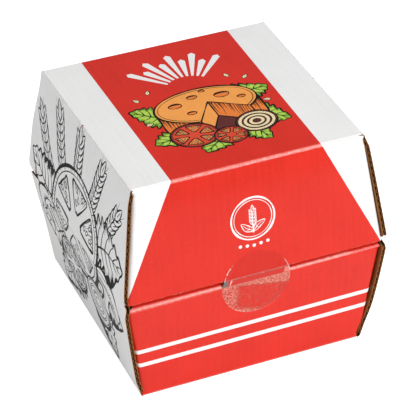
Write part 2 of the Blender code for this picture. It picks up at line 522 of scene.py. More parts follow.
def smooth(points: Sequence[Point] | Array, per: int = 8, closed: bool = False) -> Array:
    """A smooth curve through some points, with per steps from each to the next."""
    knots = np.array(points, float)
    if closed:
        knots = np.vstack([knots[-1:], knots, knots[:2]])
    else:
        knots = np.vstack([2 * knots[:1] - knots[1:2], knots, 2 * knots[-1:] - knots[-2:-1]])
    made = []
    shares = (np.arange(per) / per)[:, None]
    for a, b, c, d in zip(knots, knots[1:], knots[2:], knots[3:]):
        square, cube = 2 * a - 5 * b + 4 * c - d, 3 * b - a - 3 * c + d
        made.append(0.5 * (2 * b + (c - a) * shares + square * shares**2 + cube * shares**3))
    if not closed:
        made.append(knots[-2:-1])
    return np.vstack(made)


def band(line: Array, width: float, taper: Taper) -> Array:
    """The outline of a pen stroke along an open line."""
    share = np.linspace(0.0, 1.0, len(line))
    profile = {
        Taper.BLUNT: np.ones(len(line)),
        Taper.BOTH: np.sqrt(np.clip(np.sin(math.pi * share), 0.02, 1.0)),
        Taper.TIP: np.sqrt(np.clip(1.0 - share, 0.02, 1.0)),
    }[taper]
    offset = leftward(unit(np.gradient(line, axis=0))) * (profile * width / 2)[:, None]
    return np.vstack([line + offset, (line - offset)[::-1]])


def hoop(loop: Array, width: float, uneven: float = 0.25) -> Array:
    """The outline of a pen stroke along a closed loop, a little uneven in width."""
    side = -leftward(unit(np.roll(loop, -1, axis=0) - np.roll(loop, 1, axis=0)))
    share = np.arange(len(loop)) / len(loop) * 2 * math.pi
    half = width / 2 * (1 + uneven * np.sin(3 * share + loop[0, 0]) + uneven / 2 * np.sin(7 * share))
    outer, inner = loop + side * half[:, None], loop - side * half[:, None]
    return np.vstack([outer, outer[:1], inner[:1], inner[::-1]])


def lens(spine: Array, across: Array, swell: Array) -> Array:
    """The loop round a spine that swells to both sides between its two ends."""
    return np.vstack([spine + across * swell, (spine - across * swell)[-2:0:-1]])


def leaf_swell(width: float, share: Array) -> Array:
    """Half the width of a leaf at a share of the way along it."""
    return width / 2 * np.sin(math.pi * share**0.85) ** 0.75


def from_to(base: Point, tip: Point) -> tuple[Array, Array, Array]:
    """Where a line starts, the whole way along it, and the direction to its left."""
    start = np.array(base, float)
    way = np.array(tip, float) - start
    return start, way, unit(leftward(way))


@dataclass(frozen=True)
class Palette:
    """The inks that a motif is drawn in."""

    pen: Ink
    body: Ink
    shade: Ink
    light: Ink
    dark: Ink
    seed: Ink


COLOURED_LEAF = Palette(Ink.BLACK, Ink.LEAF, Ink.LEAF, Ink.LIME, Ink.BLACK, Ink.CREAM)
COLOURED_CHEESE = Palette(Ink.BLACK, Ink.AMBER, Ink.ORANGE, Ink.AMBER, Ink.MAROON, Ink.CREAM)
COLOURED_TOMATO = Palette(Ink.BLACK, Ink.TOMATO, Ink.MAROON, Ink.ORANGE, Ink.MAROON, Ink.CREAM)
COLOURED_ONION = Palette(Ink.BLACK, Ink.MAROON, Ink.MAROON, Ink.CREAM, Ink.BLACK, Ink.CREAM)
LINE_WORK = Palette(Ink.BLACK, Ink.BOARD, Ink.BOARD, Ink.BOARD, Ink.BLACK, Ink.BOARD)
LINE_ON_RED = Palette(Ink.BOARD, Ink.RED, Ink.RED, Ink.RED, Ink.BOARD, Ink.RED)

TOMATO_CHAMBERS = 6
# Where the seeds lie in a chamber: out from the middle, and aside as a share of half its width.
SEED_PLACES = ((0.68, -0.45), (0.7, 0.4), (0.55, 0.0), (0.46, 0.35))
# The onion's rings, from the outside in, as shares of its radii.
ONION_RINGS = (1.0, 0.9, 0.72, 0.64, 0.46, 0.38, 0.2)
# The two sides of the cheese's wedge in degrees, and its holes: across, up and size, as shares of the radii.
WEDGE_ANGLES = (252.0, 318.0)
CHEESE_HOLES = (
    (-0.55, 0.25, 0.13), (-0.15, 0.55, 0.1), (0.4, 0.35, 0.15), (-0.35, -0.35, 0.09), (0.1, 0.8, 0.06),
    (0.72, 0.0, 0.08),
)
# The right half of a cut mushroom from its cap's top to its foot, and its lines, as shares of its size.
MUSHROOM_HALF = (
    (0.0, 0.62), (0.42, 0.52), (0.72, 0.2), (0.74, -0.06), (0.5, -0.1), (0.2, -0.02), (0.16, -0.4),
    (0.24, -0.72), (0.0, -0.78),
)
MUSHROOM_CAP = ((-0.66, 0.0), (-0.5, 0.34), (0.0, 0.5), (0.5, 0.34), (0.66, 0.0))
MUSHROOM_GILLS = ((-0.6, -0.04), (-0.3, 0.12), (0.0, 0.18), (0.3, 0.12), (0.6, -0.04))
MUSHROOM_STEM = ((-0.12, -0.68), (-0.12, -0.1))


@dataclass
class Drawing:
    """A picture made of fields and pen strokes, in painter's order."""

    seed: int
    shapes: list[Shape] = field(default_factory=list)
    chance: random.Random = field(init=False)

    def __post_init__(self) -> None:
        self.chance = random.Random(self.seed)

    def fill(self, ink: Ink, loop: Array) -> None:
        """Lays a field of ink."""
        self.shapes.append(Shape(ink, loop))

    def stroke(self, ink: Ink, line: Array, width: float, taper: Taper = Taper.BOTH) -> None:
        """Draws an open line."""
        self.shapes.append(Shape(ink, band(line, width, taper)))

    def outline(self, ink: Ink, loop: Array, width: float) -> None:
        """Draws round a closed loop."""
        self.shapes.append(Shape(ink, hoop(loop, width)))

    def hatch(self, ink: Ink, near: Array, far: Array, count: int, reach: Point, width: float) -> None:
        """Draws strokes that start on one line and end part of the way to another.

        Args:
            ink: the ink of the strokes.
            near: the line they start on.
            far: the line they head for.
            count: how many there are.
            reach: the least and the most of the way that they go.
            width: how thick they are.
        """
        for i in range(count):
            share = (i + self.chance.uniform(0.2, 0.8)) / count
            start = self.on(near, share)
            goal = self.on(far, share + self.chance.uniform(-0.01, 0.01))
            end = start + (goal - start) * self.chance.uniform(*reach)
            bend = leftward(end - start) * self.chance.uniform(-0.06, 0.06)
            line = smooth([start, (start + end) / 2 + bend, end], 2)
            self.stroke(ink, line, width * self.chance.uniform(0.7, 1.2), Taper.TIP)

    @staticmethod
    def on(line: Array, share: float) -> Array:
        """The point a share of the way along a line."""
        place = min(max(share, 0.0), 1.0) * (len(line) - 1)
        first = min(int(place), len(line) - 2)
        return line[first] + (line[first + 1] - line[first]) * (place - first)

    def leaf(
        self, base: Point, tip: Point, width: float, inks: Palette, pen: float, ruffles: int = 9,
        ruffle: float = 0.16,
    ) -> None:
        """Draws a ruffled salad leaf with its veins."""
        start, axis, across = from_to(base, tip)
        share = np.linspace(0.0, 1.0, 8 * ruffles + 1)
        bow = across * width * 0.18
        spine = start + axis * share[:, None] + bow * (np.sin(math.pi * share) ** 2)[:, None]
        margins = []
        for side, phase in ((1, 0.4), (-1, 1.9)):
            ruffled = leaf_swell(width, share) * (1 + ruffle * np.sin(2 * math.pi * ruffles * share + phase))
            margins.append(spine + across * side * ruffled[:, None])
        loop = np.vstack([margins[0], margins[1][-2:0:-1]])
        self.fill(inks.body, loop)
        for margin, side in zip(margins, (1, -1)):
            inner = (spine * 0.35 + margin * 0.65)[-9:7:-1]
            self.fill(inks.light, np.vstack([spine[8:-8] + across * side * pen, inner]))
            self.hatch(inks.pen, margin[3:-3], spine[3:-3], 5 * ruffles, (0.12, 0.42), pen * 0.5)
            for i in range(ruffles - 1):
                vein = (i + 0.6) / ruffles
                root = self.on(spine, vein)
                reach = self.on(margin, min(vein + 0.16, 0.97)) - root
                bend = root + reach * 0.5 - unit(axis) * width * 0.04
                self.stroke(inks.pen, smooth([root, bend, root + reach * 0.82], 4), pen * 0.8, Taper.TIP)
        self.stroke(inks.pen, spine[: -len(spine) // 12], pen * 1.2, Taper.TIP)
        self.outline(inks.pen, loop, pen)

    def shadow(self, base: Point, tip: Point, width: float) -> None:
        """Lays the black shadow of a leaf."""
        start, way, across = from_to(base, tip)
        share = np.linspace(0.0, 1.0, 31)[:, None]
        swell = leaf_swell(width, share) * (1 + 0.05 * np.sin(26 * share))
        self.fill(Ink.BLACK, lens(start + way * share, across, swell))

    def tomato(
        self, centre: Point, radius: float, inks: Palette, pen: float, turn: float, squash: float
    ) -> None:
        """Draws a slice of tomato with its chambers and seeds."""

        def ring(share: float, count: int, start: float = 0.0, sweep: float = 360.0) -> Array:
            """Points round the slice, or a part of it, at a share of its radius."""
            return oval(centre, (radius * share, radius * share * squash), count, 0.0, start, sweep)

        skin = ring(1.0, 64)
        self.fill(inks.shade, skin)
        self.fill(inks.body, ring(0.93, 56))
        self.outline(inks.pen, skin, pen)
        self.outline(inks.pen, ring(0.9, 56), pen * 0.45)
        for i in range(TOMATO_CHAMBERS):
            middle = turn + 360.0 * i / TOMATO_CHAMBERS
            wide = 21.0 + 3.0 * math.sin(2.1 * i)
            far = ring(0.79, 9, middle - wide, 2 * wide)
            near = ring(0.3, 5, middle + wide * 0.5, -wide)
            hollow = smooth(np.vstack([far[::2], near[::2]]), 4, closed=True)
            self.fill(inks.light, hollow)
            self.hatch(inks.pen, far, near[::-1], 9, (0.2, 0.55), pen * 0.42)
            self.outline(inks.pen, hollow, pen * 0.75)
            for k, (out, aside) in enumerate(SEED_PLACES):
                angle = middle + wide * aside
                pip = oval(ring(out, 2, angle, 1.0)[0], (radius * 0.055, radius * 0.032), 10, angle + 12 * k)
                self.fill(inks.seed, pip)
                self.outline(inks.pen, pip, pen * 0.4)
        self.hatch(inks.pen, ring(0.99, 80), ring(0.84, 80), 60, (0.3, 0.75), pen * 0.4)

    def wheel(self, centre: Point, radii: Point, depth: float, inks: Palette, pen: float) -> None:
        """Draws a wheel of cheese with a wedge taken out of its front."""
        x, y = centre
        top = oval(centre, radii, 72)
        front, rim = (oval((x, y - drop), radii, 37, 0, 180, 180) for drop in (depth, 0.0))
        body = np.vstack([front, rim[::-1]])
        self.fill(inks.shade, body)
        self.hatch(inks.pen, rim, front, 46, (0.25, 0.8), pen * 0.55)
        self.outline(inks.pen, body, pen)
        self.fill(inks.body, top)
        self.outline(inks.pen, top, pen)
        self.outline(inks.pen, oval(centre, (radii[0] * 0.93, radii[1] * 0.9), 64), pen * 0.4)
        tip = np.array([x + radii[0] * 0.06, y + radii[1] * 0.1])
        near, far = (oval(centre, radii, 2, 0, angle, 1)[0] for angle in WEDGE_ANGLES)
        down = np.array([0.0, -depth])
        self.fill(inks.dark, np.array([tip, near, near + down * 1.1, far + down * 1.1, far]))
        left_face = np.array([tip, near, near + down, tip + down * 0.92])
        right_face = np.array([tip, tip + down * 0.92, far + down, far])
        self.fill(inks.light, left_face)
        self.fill(inks.shade, right_face)
        for face in (left_face, right_face):
            self.outline(inks.pen, dense(face, 1.0, closed=True), pen * 0.8)
        upper, lower = (dense(np.array([tip + drop, far + drop]), 1.0) for drop in (0 * down, down))
        self.hatch(inks.pen, upper, lower, 18, (0.3, 0.9), pen * 0.5)
        for u, v, size in CHEESE_HOLES:
            hole = (x + u * radii[0], y + v * radii[1])
            eye = oval(hole, (size * radii[0], size * radii[1] * 1.1), 20)
            lip = oval((hole[0], hole[1] - 0.2 * pen), (size * radii[0], size * radii[1] * 0.55), 20)
            self.fill(inks.shade, eye)
            self.fill(inks.pen, np.vstack([eye[:11], lip[10::-1]]))
            self.outline(inks.pen, eye, pen * 0.55)

    def rings(self, centre: Point, radii: Point, inks: Palette, pen: float, turn: float) -> None:
        """Draws a slice of onion with its rings."""

        def ring(share: float, count: int) -> Array:
            """Points round the slice at a share of its radii."""
            return oval(centre, (radii[0] * share, radii[1] * share), count, turn)

        for i, share in enumerate(ONION_RINGS):
            self.fill(inks.body if i % 2 == 0 else inks.light, ring(share, 44))
            self.outline(inks.pen, ring(share, 44), pen * (1.0 if i == 0 else 0.45))
        self.hatch(inks.pen, ring(ONION_RINGS[1], 60), ring(ONION_RINGS[2], 60), 34, (0.3, 0.7), pen * 0.4)

    def grain(self, base: Array, angle: float, length: float, wide: float, inks: Palette, pen: float) -> None:
        """Draws one pointed grain or seed."""
        share = np.linspace(0.0, 1.0, 9)[:, None]
        way = heading(angle)
        spine = base + way * length * share
        loop = lens(spine, leftward(way), wide / 2 * np.sin(math.pi * share**0.8) ** 0.8)
        self.fill(inks.seed, loop)
        self.outline(inks.pen, loop, pen)
        self.stroke(inks.pen, spine[2:-2], pen * 0.6)

    def wheat(
        self, foot: Point, tip: Point, bend: float, pairs: int, length: float, inks: Palette, pen: float,
        awn: float,
    ) -> None:
        """Draws an ear of wheat on its stalk."""
        start, end = np.array(foot, float), np.array(tip, float)
        stalk = smooth([start, (start + end) / 2 + leftward(end - start) * bend, end], 12)
        self.stroke(inks.pen, stalk, pen * 1.4, Taper.BLUNT)
        for i in range(pairs):
            share = 1.0 - 0.62 * (pairs - i) / pairs
            place = self.on(stalk, share)
            ahead = self.on(stalk, min(share + 0.05, 1.0)) - self.on(stalk, share - 0.05)
            along = math.atan2(ahead[1], ahead[0])
            for side in (1, -1):
                if awn:
                    way = heading(along + side * 0.3) * awn
                    hair = smooth([place, place + way * 0.6, place + way], 3)
                    self.stroke(inks.pen, hair, pen * 0.4, Taper.TIP)
                self.grain(place, along + side * 0.5, length, length * 0.42, inks, pen * 0.7)
        last = stalk[-1] - stalk[-2]
        angle = math.atan2(last[1], last[0])
        self.grain(stalk[-1] - last, angle, length * 1.1, length * 0.42, inks, pen * 0.7)

    def mushroom(self, centre: Point, size: float, inks: Palette, pen: float, turn: float) -> None:
        """Draws half a mushroom, cut side out."""

        def laid(points: Sequence[Point]) -> Array:
            """Shares of the mushroom's size as places on the sheet."""
            x, y = np.array(points).T
            return turned(x, y, turn) * size + np.array(centre)

        left_half = [(-x, y) for x, y in MUSHROOM_HALF[-2:0:-1]]
        loop = smooth(laid([*MUSHROOM_HALF, *left_half]), 5, closed=True)
        cap, gills = smooth(laid(MUSHROOM_CAP), 8), smooth(laid(MUSHROOM_GILLS), 8)
        right_side = [(-x, y) for x, y in MUSHROOM_STEM]
        left_stem, right_stem = (dense(laid(side), 1.0) for side in (MUSHROOM_STEM, right_side))
        self.fill(inks.body, loop)
        self.hatch(inks.pen, gills, cap, 26, (0.25, 0.6), pen * 0.5)
        self.hatch(inks.pen, left_stem, right_stem, 9, (0.3, 0.7), pen * 0.4)
        self.stroke(inks.pen, gills, pen * 0.9)
        self.outline(inks.pen, loop, pen)


def top_drawing() -> Drawing:
    """The print in the middle of the lid's top: white rays over a wheel of cheese among salad."""
    made = Drawing(seed=11)
    sun = np.array([0.5, 9.0])
    rays, near = 9, 11.5
    for i in range(rays):
        way = heading(math.radians(48.0 + 84.0 * i / (rays - 1)))
        far = 24.0 if i % 2 else 29.0
        places = ((near, -0.5), (far, -1.55), (far + 1.4, 0.0), (far, 1.55), (near, 0.5))
        made.fill(Ink.BOARD, np.array([sun + way * out + leftward(way) * aside for out, aside in places]))
    for base, tip, width in (
        ((-8, -8), (-30, 3), 15), ((8, -8), (30, 1), 15), ((-6, -14), (-29, -24), 15),
        ((7, -15), (29, -26), 15), ((0, -18), (-12, -37), 15), ((2, -18), (16, -37), 14),
    ):
        made.leaf(base, tip, width, COLOURED_LEAF, 0.65)
    made.wheel((1.0, -3.0), (22.0, 12.5), 12.5, COLOURED_CHEESE, 0.8)
    made.rings((15.0, -23.0), (9.0, 7.4), COLOURED_ONION, 0.6, 12.0)
    made.tomato((-12.0, -23.0), 10.0, COLOURED_TOMATO, 0.65, 15.0, 0.86)
    made.tomato((1.5, -28.5), 7.0, COLOURED_TOMATO, 0.55, 40.0, 0.86)
    for x, y, angle in (
        (-23.0, 9.0, 2.2), (-18.0, 13.0, 1.2), (23.0, 9.5, 0.7), (18.0, 13.0, 1.9), (-27.0, -9.0, 0.2),
        (27.0, -10.0, 2.9),
    ):
        made.grain(np.array([x, y]), angle, 3.4, 1.9, COLOURED_CHEESE, 0.35)
    return made


def side_drawing() -> Drawing:
    """The line drawing on each side: a sliced tomato among leaves, wheat and mushrooms."""
    made = Drawing(seed=23)
    for foot, tip, bend in (
        ((-4, 0), (-43, 33), 0.1), ((-2, 4), (-25, 42), 0.06), ((0, 4), (-2, 43), 0.0),
        ((2, 4), (22, 42), -0.06), ((4, 0), (41, 33), -0.1),
    ):
        made.wheat(foot, tip, bend, 8, 8.6, LINE_WORK, 1.0, 12.0)
    for base, tip, width in (
        ((-12, 2), (-52, 12), 24), ((12, 2), (52, 14), 24), ((-10, -6), (-50, -20), 26),
        ((10, -8), (50, -16), 24), ((-6, -12), (-34, -46), 24), ((6, -12), (30, -46), 24),
    ):
        made.shadow((base[0], base[1] - 1.3), (tip[0] * 0.97, tip[1] - 2.2), width)
        made.leaf(base, tip, width, LINE_WORK, 1.05, 10, 0.18)
    made.mushroom((34.0, -9.0), 18.0, LINE_WORK, 1.05, -0.5)
    made.mushroom((-37.0, -9.0), 16.0, LINE_WORK, 1.05, 0.6)
    made.fill(Ink.BLACK, oval((0.9, 2.6), (26.8, 25.2), 60))
    made.tomato((0.0, 4.0), 26.5, LINE_WORK, 1.35, 20.0, 0.94)
    made.fill(Ink.BLACK, oval((16.6, -26.8), (13.3, 11.3), 44))
    made.rings((16.0, -26.0), (13.2, 11.2), LINE_WORK, 1.05, 10.0)
    made.fill(Ink.BLACK, oval((-14.2, -27.9), (13.7, 12.3), 44))
    made.tomato((-15.0, -27.0), 13.6, LINE_WORK, 1.05, 50.0, 0.9)
    return made


def front_emblem(centre: Point) -> Drawing:
    """The small white line ornament on the lid's front: a sprig of wheat in a ring over five dots."""
    made = Drawing(seed=5)
    x, y = centre
    made.outline(Ink.BOARD, oval(centre, (9.4, 9.4), 72), 0.75)
    made.outline(Ink.BOARD, oval(centre, (8.2, 8.2), 60), 0.3)
    made.wheat((x, y - 6.4), (x, y + 3.2), 0.0, 4, 2.9, LINE_ON_RED, 0.5, 0.0)
    for side in (-1, 1):
        made.leaf((x, y - 5.6), (x + side * 5.2, y - 1.6), 2.6, LINE_ON_RED, 0.32, 2, 0.0)
    for i in range(-2, 3):
        made.fill(Ink.BOARD, oval((x + i * 3.0, y - 12.3 + abs(i) * 0.35), (0.75, 0.75), 16))
    return made


@dataclass(frozen=True)
class EndFit:
    """How far inside the side wall's nominal face the folded end of a front or back panel lies."""

    at_flat: float
    at_seam: float
    corner_cut: float
    cut_length: float

    def inset(self, share: Array, from_fold: Array) -> Array:
        """The inset at a share of the way to the seam, with more of it cut away beside the fold."""
        cut = self.corner_cut * (1 - ease(from_fold, 0.0, self.cut_length))
        return self.at_flat + (self.at_seam - self.at_flat) * share + cut


@dataclass(frozen=True)
class Wrap:
    """The panels folded in line from a half's flat panel, with the turned-in ends of the front and back."""

    half: HalfSizes
    path: FoldedPath
    panel_legs: tuple[int, ...]
    fits: tuple[EndFit, EndFit]
    end_radius: float = 1.9
    flap: float = 2.8
    ramp: Point = (0.5, 2.6)

    def height(self, along: Array) -> Array:
        """The height on the outer face, which sets how wide the panel is."""
        return self.path.place(along)[0][:, 1]

    def from_fold(self, along: Array) -> Array:
        """How far each distance is from the nearer fold of its front or back panel, and 0 off those panels."""
        ends = self.path.ends()
        along = np.clip(along, 0.0, ends[-1])
        made = np.zeros(len(along))
        for leg in self.panel_legs:
            inside = (along >= ends[leg]) & (along <= ends[leg + 1])
            away = np.full(len(along), np.inf)
            for corner in (leg, leg + 1):
                if 0 < corner < len(ends) - 1:
                    away = np.minimum(away, np.abs(along - ends[corner]))
            made = np.where(inside, away, made)
        return made

    def from_flat(self, along: Array) -> Array:
        """How far each distance is from the nearer of the flat panel's folds."""
        ends = self.path.ends()
        return np.minimum(np.abs(along - ends[1]), np.abs(along - ends[2]))

    def rounding(self, along: Array) -> Array:
        """How far the end fold is open at each distance: 0 next to a fold of the panel, and 1 away from it."""
        return ease(self.from_fold(along), *self.ramp)

    def end_x(self, along: Array, side: Array | int) -> Array:
        """How far out the folded end of the panel is, on the left (-1) or the right (1)."""
        height = self.height(np.clip(along, 0.0, self.path.ends()[-1]))
        left, right = (fit.inset(self.half.share(height), self.from_flat(along)) for fit in self.fits)
        return self.half.side_x(height) - np.where(np.asarray(side) < 0, left, right)

    def place(self, flat: Array) -> Array:
        """Folds flat points into the panels, with the ends of the front and back turned inwards."""
        across, along = flat.T
        points, outward = self.path.place(along)
        radius = self.end_radius * self.rounding(along)
        start = self.end_x(along, np.sign(across)) - radius
        excess = np.clip(np.abs(across) - start, 0.0, None) * (radius > 0)
        safe = np.maximum(radius, 1e-6)
        angle = np.minimum(excess / safe, math.pi / 2)
        past = np.clip(excess - safe * math.pi / 2, 0.0, None)
        x = np.where(excess > 0, start + radius * np.sin(angle), np.abs(across))
        depth = np.where(excess > 0, radius * (1 - np.cos(angle)) + past, 0.0)
        y, z = (points - outward * depth[:, None]).T
        return np.stack([np.copysign(x, across), y, z], axis=1)

    def reach(self, along: Array, side: int) -> Array:
        """How far across the front or back panel goes on one side, with its end fold and flap."""
        opened = self.rounding(along)
        radius = self.end_radius * opened
        return self.end_x(along, side) + radius * (math.pi / 2 - 1) + self.flap * opened

    def end_lines(self) -> list[Array]:
        """Lines along the end folds, where the sheet needs points."""
        made = []
        ends = self.path.ends()
        for leg in self.panel_legs:
            first = ends[leg] + (self.ramp[0] if leg else 0.0)
            along = np.linspace(first, ends[leg + 1] - self.ramp[0], 14)
            radius = self.end_radius * self.rounding(along)
            for side in (-1, 1):
                start = self.end_x(along, side) - radius
                for share in (0.0, 0.25, 0.5, 0.75, 1.0):
                    made.append(np.stack([side * (start + radius * math.pi / 2 * share), along], axis=1))
        return made

    def fold_lines(self, wide: float) -> tuple[list[Array], list[Array]]:
        """The creases across the sheet, and the lines beside them that round them."""
        creases, beside = [], []
        ends = self.path.ends()
        for corner in range(1, len(ends) - 1):
            reach = self.path.reach(corner)
            creases.append(np.array([(-wide, ends[corner]), (wide, ends[corner])]))
            for share in (-2.4, -1.5, -1.0, -0.67, -0.33, 0.33, 0.67, 1.0, 1.5, 2.4):
                level = ends[corner] + share * reach
                beside.append(np.array([(-wide, level), (wide, level)]))
        return creases, beside


@dataclass(frozen=True)
class WallFit:
    """How far a side wall's front end stands out: soon after its crease, by the seam, and between.

    Away from the front it stands out evenly, and its corner at the seam can be pinched in.
    """

    quick: float
    slow: float
    bow: float
    rise: float
    away: float
    pinch: float = 0.0
    front: Point = (-10.0, 54.0)
    corner: float = 36.0
    pinched_from: float = 0.88
    settled: float = 0.6

    def bulge(self, share: Array, y: Array) -> Array:
        """The distance at a share of the way from the crease to the seam, which settles away from the front."""
        share = np.clip(share, 0.0, 1.0)
        bowed = self.bow * np.sin(math.pi * share**0.8)
        flare = self.quick * ease(share, 0.0, self.rise) + self.slow * share + bowed
        front = ease(-y, *self.front)
        pinched = self.pinch * ease(share, self.pinched_from, 1.0) * ease(-y, self.corner, self.front[1])
        return flare * front + self.away * ease(share, 0.0, self.settled) * (1 - front) - pinched


@dataclass(frozen=True)
class SideWall:
    """One side wall, from its crease on the flat panel to its cut edge at the seam."""

    half: HalfSizes
    side: int
    crease_radius: float
    fit: WallFit
    corners: tuple[Point, Point]
    recess: float = 1.5
    hook_depth: float = 0.1
    hook_length: float = 2.0
    turn_in: float = 4.0
    droop_length: float = 14.0

    @property
    def up(self) -> bool:
        """Whether the wall's flat panel is above its seam."""
        return self.half.flat_height > self.half.seam_height

    def path(self) -> FoldedPath:
        """The wall seen from the front, on the right-hand side, going down."""
        half = self.half
        wide = half.flat_width / 2
        cut = (float(half.side_x(half.side_edge)), half.side_edge)
        corners = ((wide - self.turn_in, half.flat_height), (wide, half.flat_height), cut)
        return FoldedPath(corners if self.up else corners[::-1], (self.crease_radius,))

    def slant(self) -> float:
        """How long the wall is from the seam's height to its sharp crease."""
        half = self.half
        run = float(half.side_x(half.seam_height)) - half.flat_width / 2
        return math.hypot(run, half.flat_height - half.seam_height)

    def trim(self) -> float:
        """How far up or down the wall its cut edge is from the seam's height."""
        half = self.half
        return (half.side_edge - half.seam_height) * self.slant() / abs(half.flat_height - half.seam_height)

    def wall_height(self, upward: Array) -> Array:
        """The height of a flat place on the wall, taken as a plane."""
        rise = abs(self.half.flat_height - self.half.seam_height) / self.slant()
        return self.half.seam_height + upward * rise

    def place(self, flat: Array) -> Array:
        """Folds flat points, given as rightwards and upwards from the seam's height, onto the wall."""
        right, upward = flat.T
        path = self.path()
        along = self.turn_in + self.slant() - upward if self.up else self.trim() - upward
        points, _ = path.place(along)
        out = points[:, 0] + self.fit.bulge(self.half.share(points[:, 1]), self.side * right)
        return np.stack([self.side * out, self.side * right, points[:, 1]], axis=1)

    def edge_y(self, away: Array | float) -> Array | float:
        """How far out the wall's front edge is, at a distance from the seam's height: less near the crease."""
        level = away if self.up else -away
        share = away / self.slant()
        return self.half.side_y(self.wall_height(level)) - self.recess * share * (1 - 0.85 * ease(share, 0.84, 1.0))

    def outline(self, layer: float = 0.0) -> Array:
        """The wall's outline: straight down its edges, drooping and rounded at the seam, hooked in at the crease.

        The flat sheet's right end is at the front of the left wall and at the back of the right one.

        Args:
            layer: how far short of the crease the sheet ends.

        Returns:
            The loop, anticlockwise.
        """
        sign = 1.0 if self.up else -1.0
        seam = self.trim()
        crease = self.slant() + self.path().reach(1) - layer
        flat_share = np.linspace(0.0, 1.0, 6)[:-1]
        ends = []
        for droop, radius in self.corners:
            levels = np.concatenate(
                [
                    seam + droop + radius * (1 - np.cos(np.linspace(0, math.pi / 2, 8))),
                    np.linspace(seam + radius + 4, self.slant() - 9.0, 8),
                    np.linspace(self.slant() - 8.0, self.slant() - self.hook_length - 0.5, 6),
                    np.linspace(self.slant() - self.hook_length, crease, 9),
                ]
            )
            into = np.clip(radius - (levels - seam - droop), 0.0, None)
            corner = radius - np.sqrt(np.clip(radius**2 - into**2, 0.0, None))
            hooked = self.hook_depth * ease(levels, self.slant() - self.hook_length, self.slant() + 0.4)
            edge = self.edge_y(np.minimum(levels, self.slant())) - corner - hooked
            top_x = edge[0] - self.droop_length * (1 - flat_share)
            top_level = seam + droop * ease(flat_share, 0.0, 1.0)
            edge, levels = np.concatenate([top_x, edge]), np.concatenate([top_level, levels])
            ends.append(np.stack([edge, levels * sign], axis=1))
        right, left = ends[0], ends[1] * np.array([-1.0, 1.0])
        loop = np.vstack([right, left[::-1]])
        return loop if self.up else loop[::-1]

    def creases(self) -> tuple[list[Array], list[Array]]:
        """The crease along the flat panel, and the lines beside it that round it."""
        sign = 1.0 if self.up else -1.0
        wide = self.half.flat_depth / 2
        reach = self.path().reach(1)
        lines = []
        for share in (-3.0, -1.6, -1.0, -0.6, -0.2, 0.2, 0.6, 1.0):
            level = sign * (self.slant() + share * reach)
            lines.append(np.array([(-wide, level), (wide, level)]))
        level = sign * self.slant()
        return [np.array([(-wide, level), (wide, level)])], lines


class Value:
    """A node's output that can be reckoned with, each step adding a Math node to its tree."""

    def __init__(self, bench: Bench, socket: bpy.types.NodeSocket) -> None:
        self.bench = bench
        self.socket = socket

    def __add__(self, other: Operand) -> Value:
        """The sum."""
        return self.bench.math("ADD", self, other)

    def __sub__(self, other: Operand) -> Value:
        """The difference."""
        return self.bench.math("SUBTRACT", self, other)

    def __rsub__(self, other: float) -> Value:
        """The difference from a number."""
        return self.bench.math("SUBTRACT", other, self)

    def __mul__(self, other: Operand) -> Value:
        """The product."""
        return self.bench.math("MULTIPLY", self, other)

    def __truediv__(self, other: Operand) -> Value:
        """The quotient."""
        return self.bench.math("DIVIDE", self, other)

    def __lt__(self, other: Operand) -> Value:
        """1 where this is less, and 0 elsewhere."""
        return self.bench.math("LESS_THAN", self, other)

    def __abs__(self) -> Value:
        """The size without its sign."""
        return self.bench.math("ABSOLUTE", self)

    def most(self, *others: Operand) -> Value:
        """The greatest of this and others."""
        made = self
        for other in others:
            made = self.bench.math("MAXIMUM", made, other)
        return made

    def span(self, low: float, high: float, to_low: float = 0.0, to_high: float = 1.0) -> Value:
        """This mapped smoothly from one span to another, clamped."""
        node = self.bench.add("ShaderNodeMapRange", interpolation_type="SMOOTHSTEP")
        for socket, number in zip(node.inputs, (self, low, high, to_low, to_high)):
            self.bench.feed(socket, number)
        return Value(self.bench, node.outputs[0])


Operand = Value | float


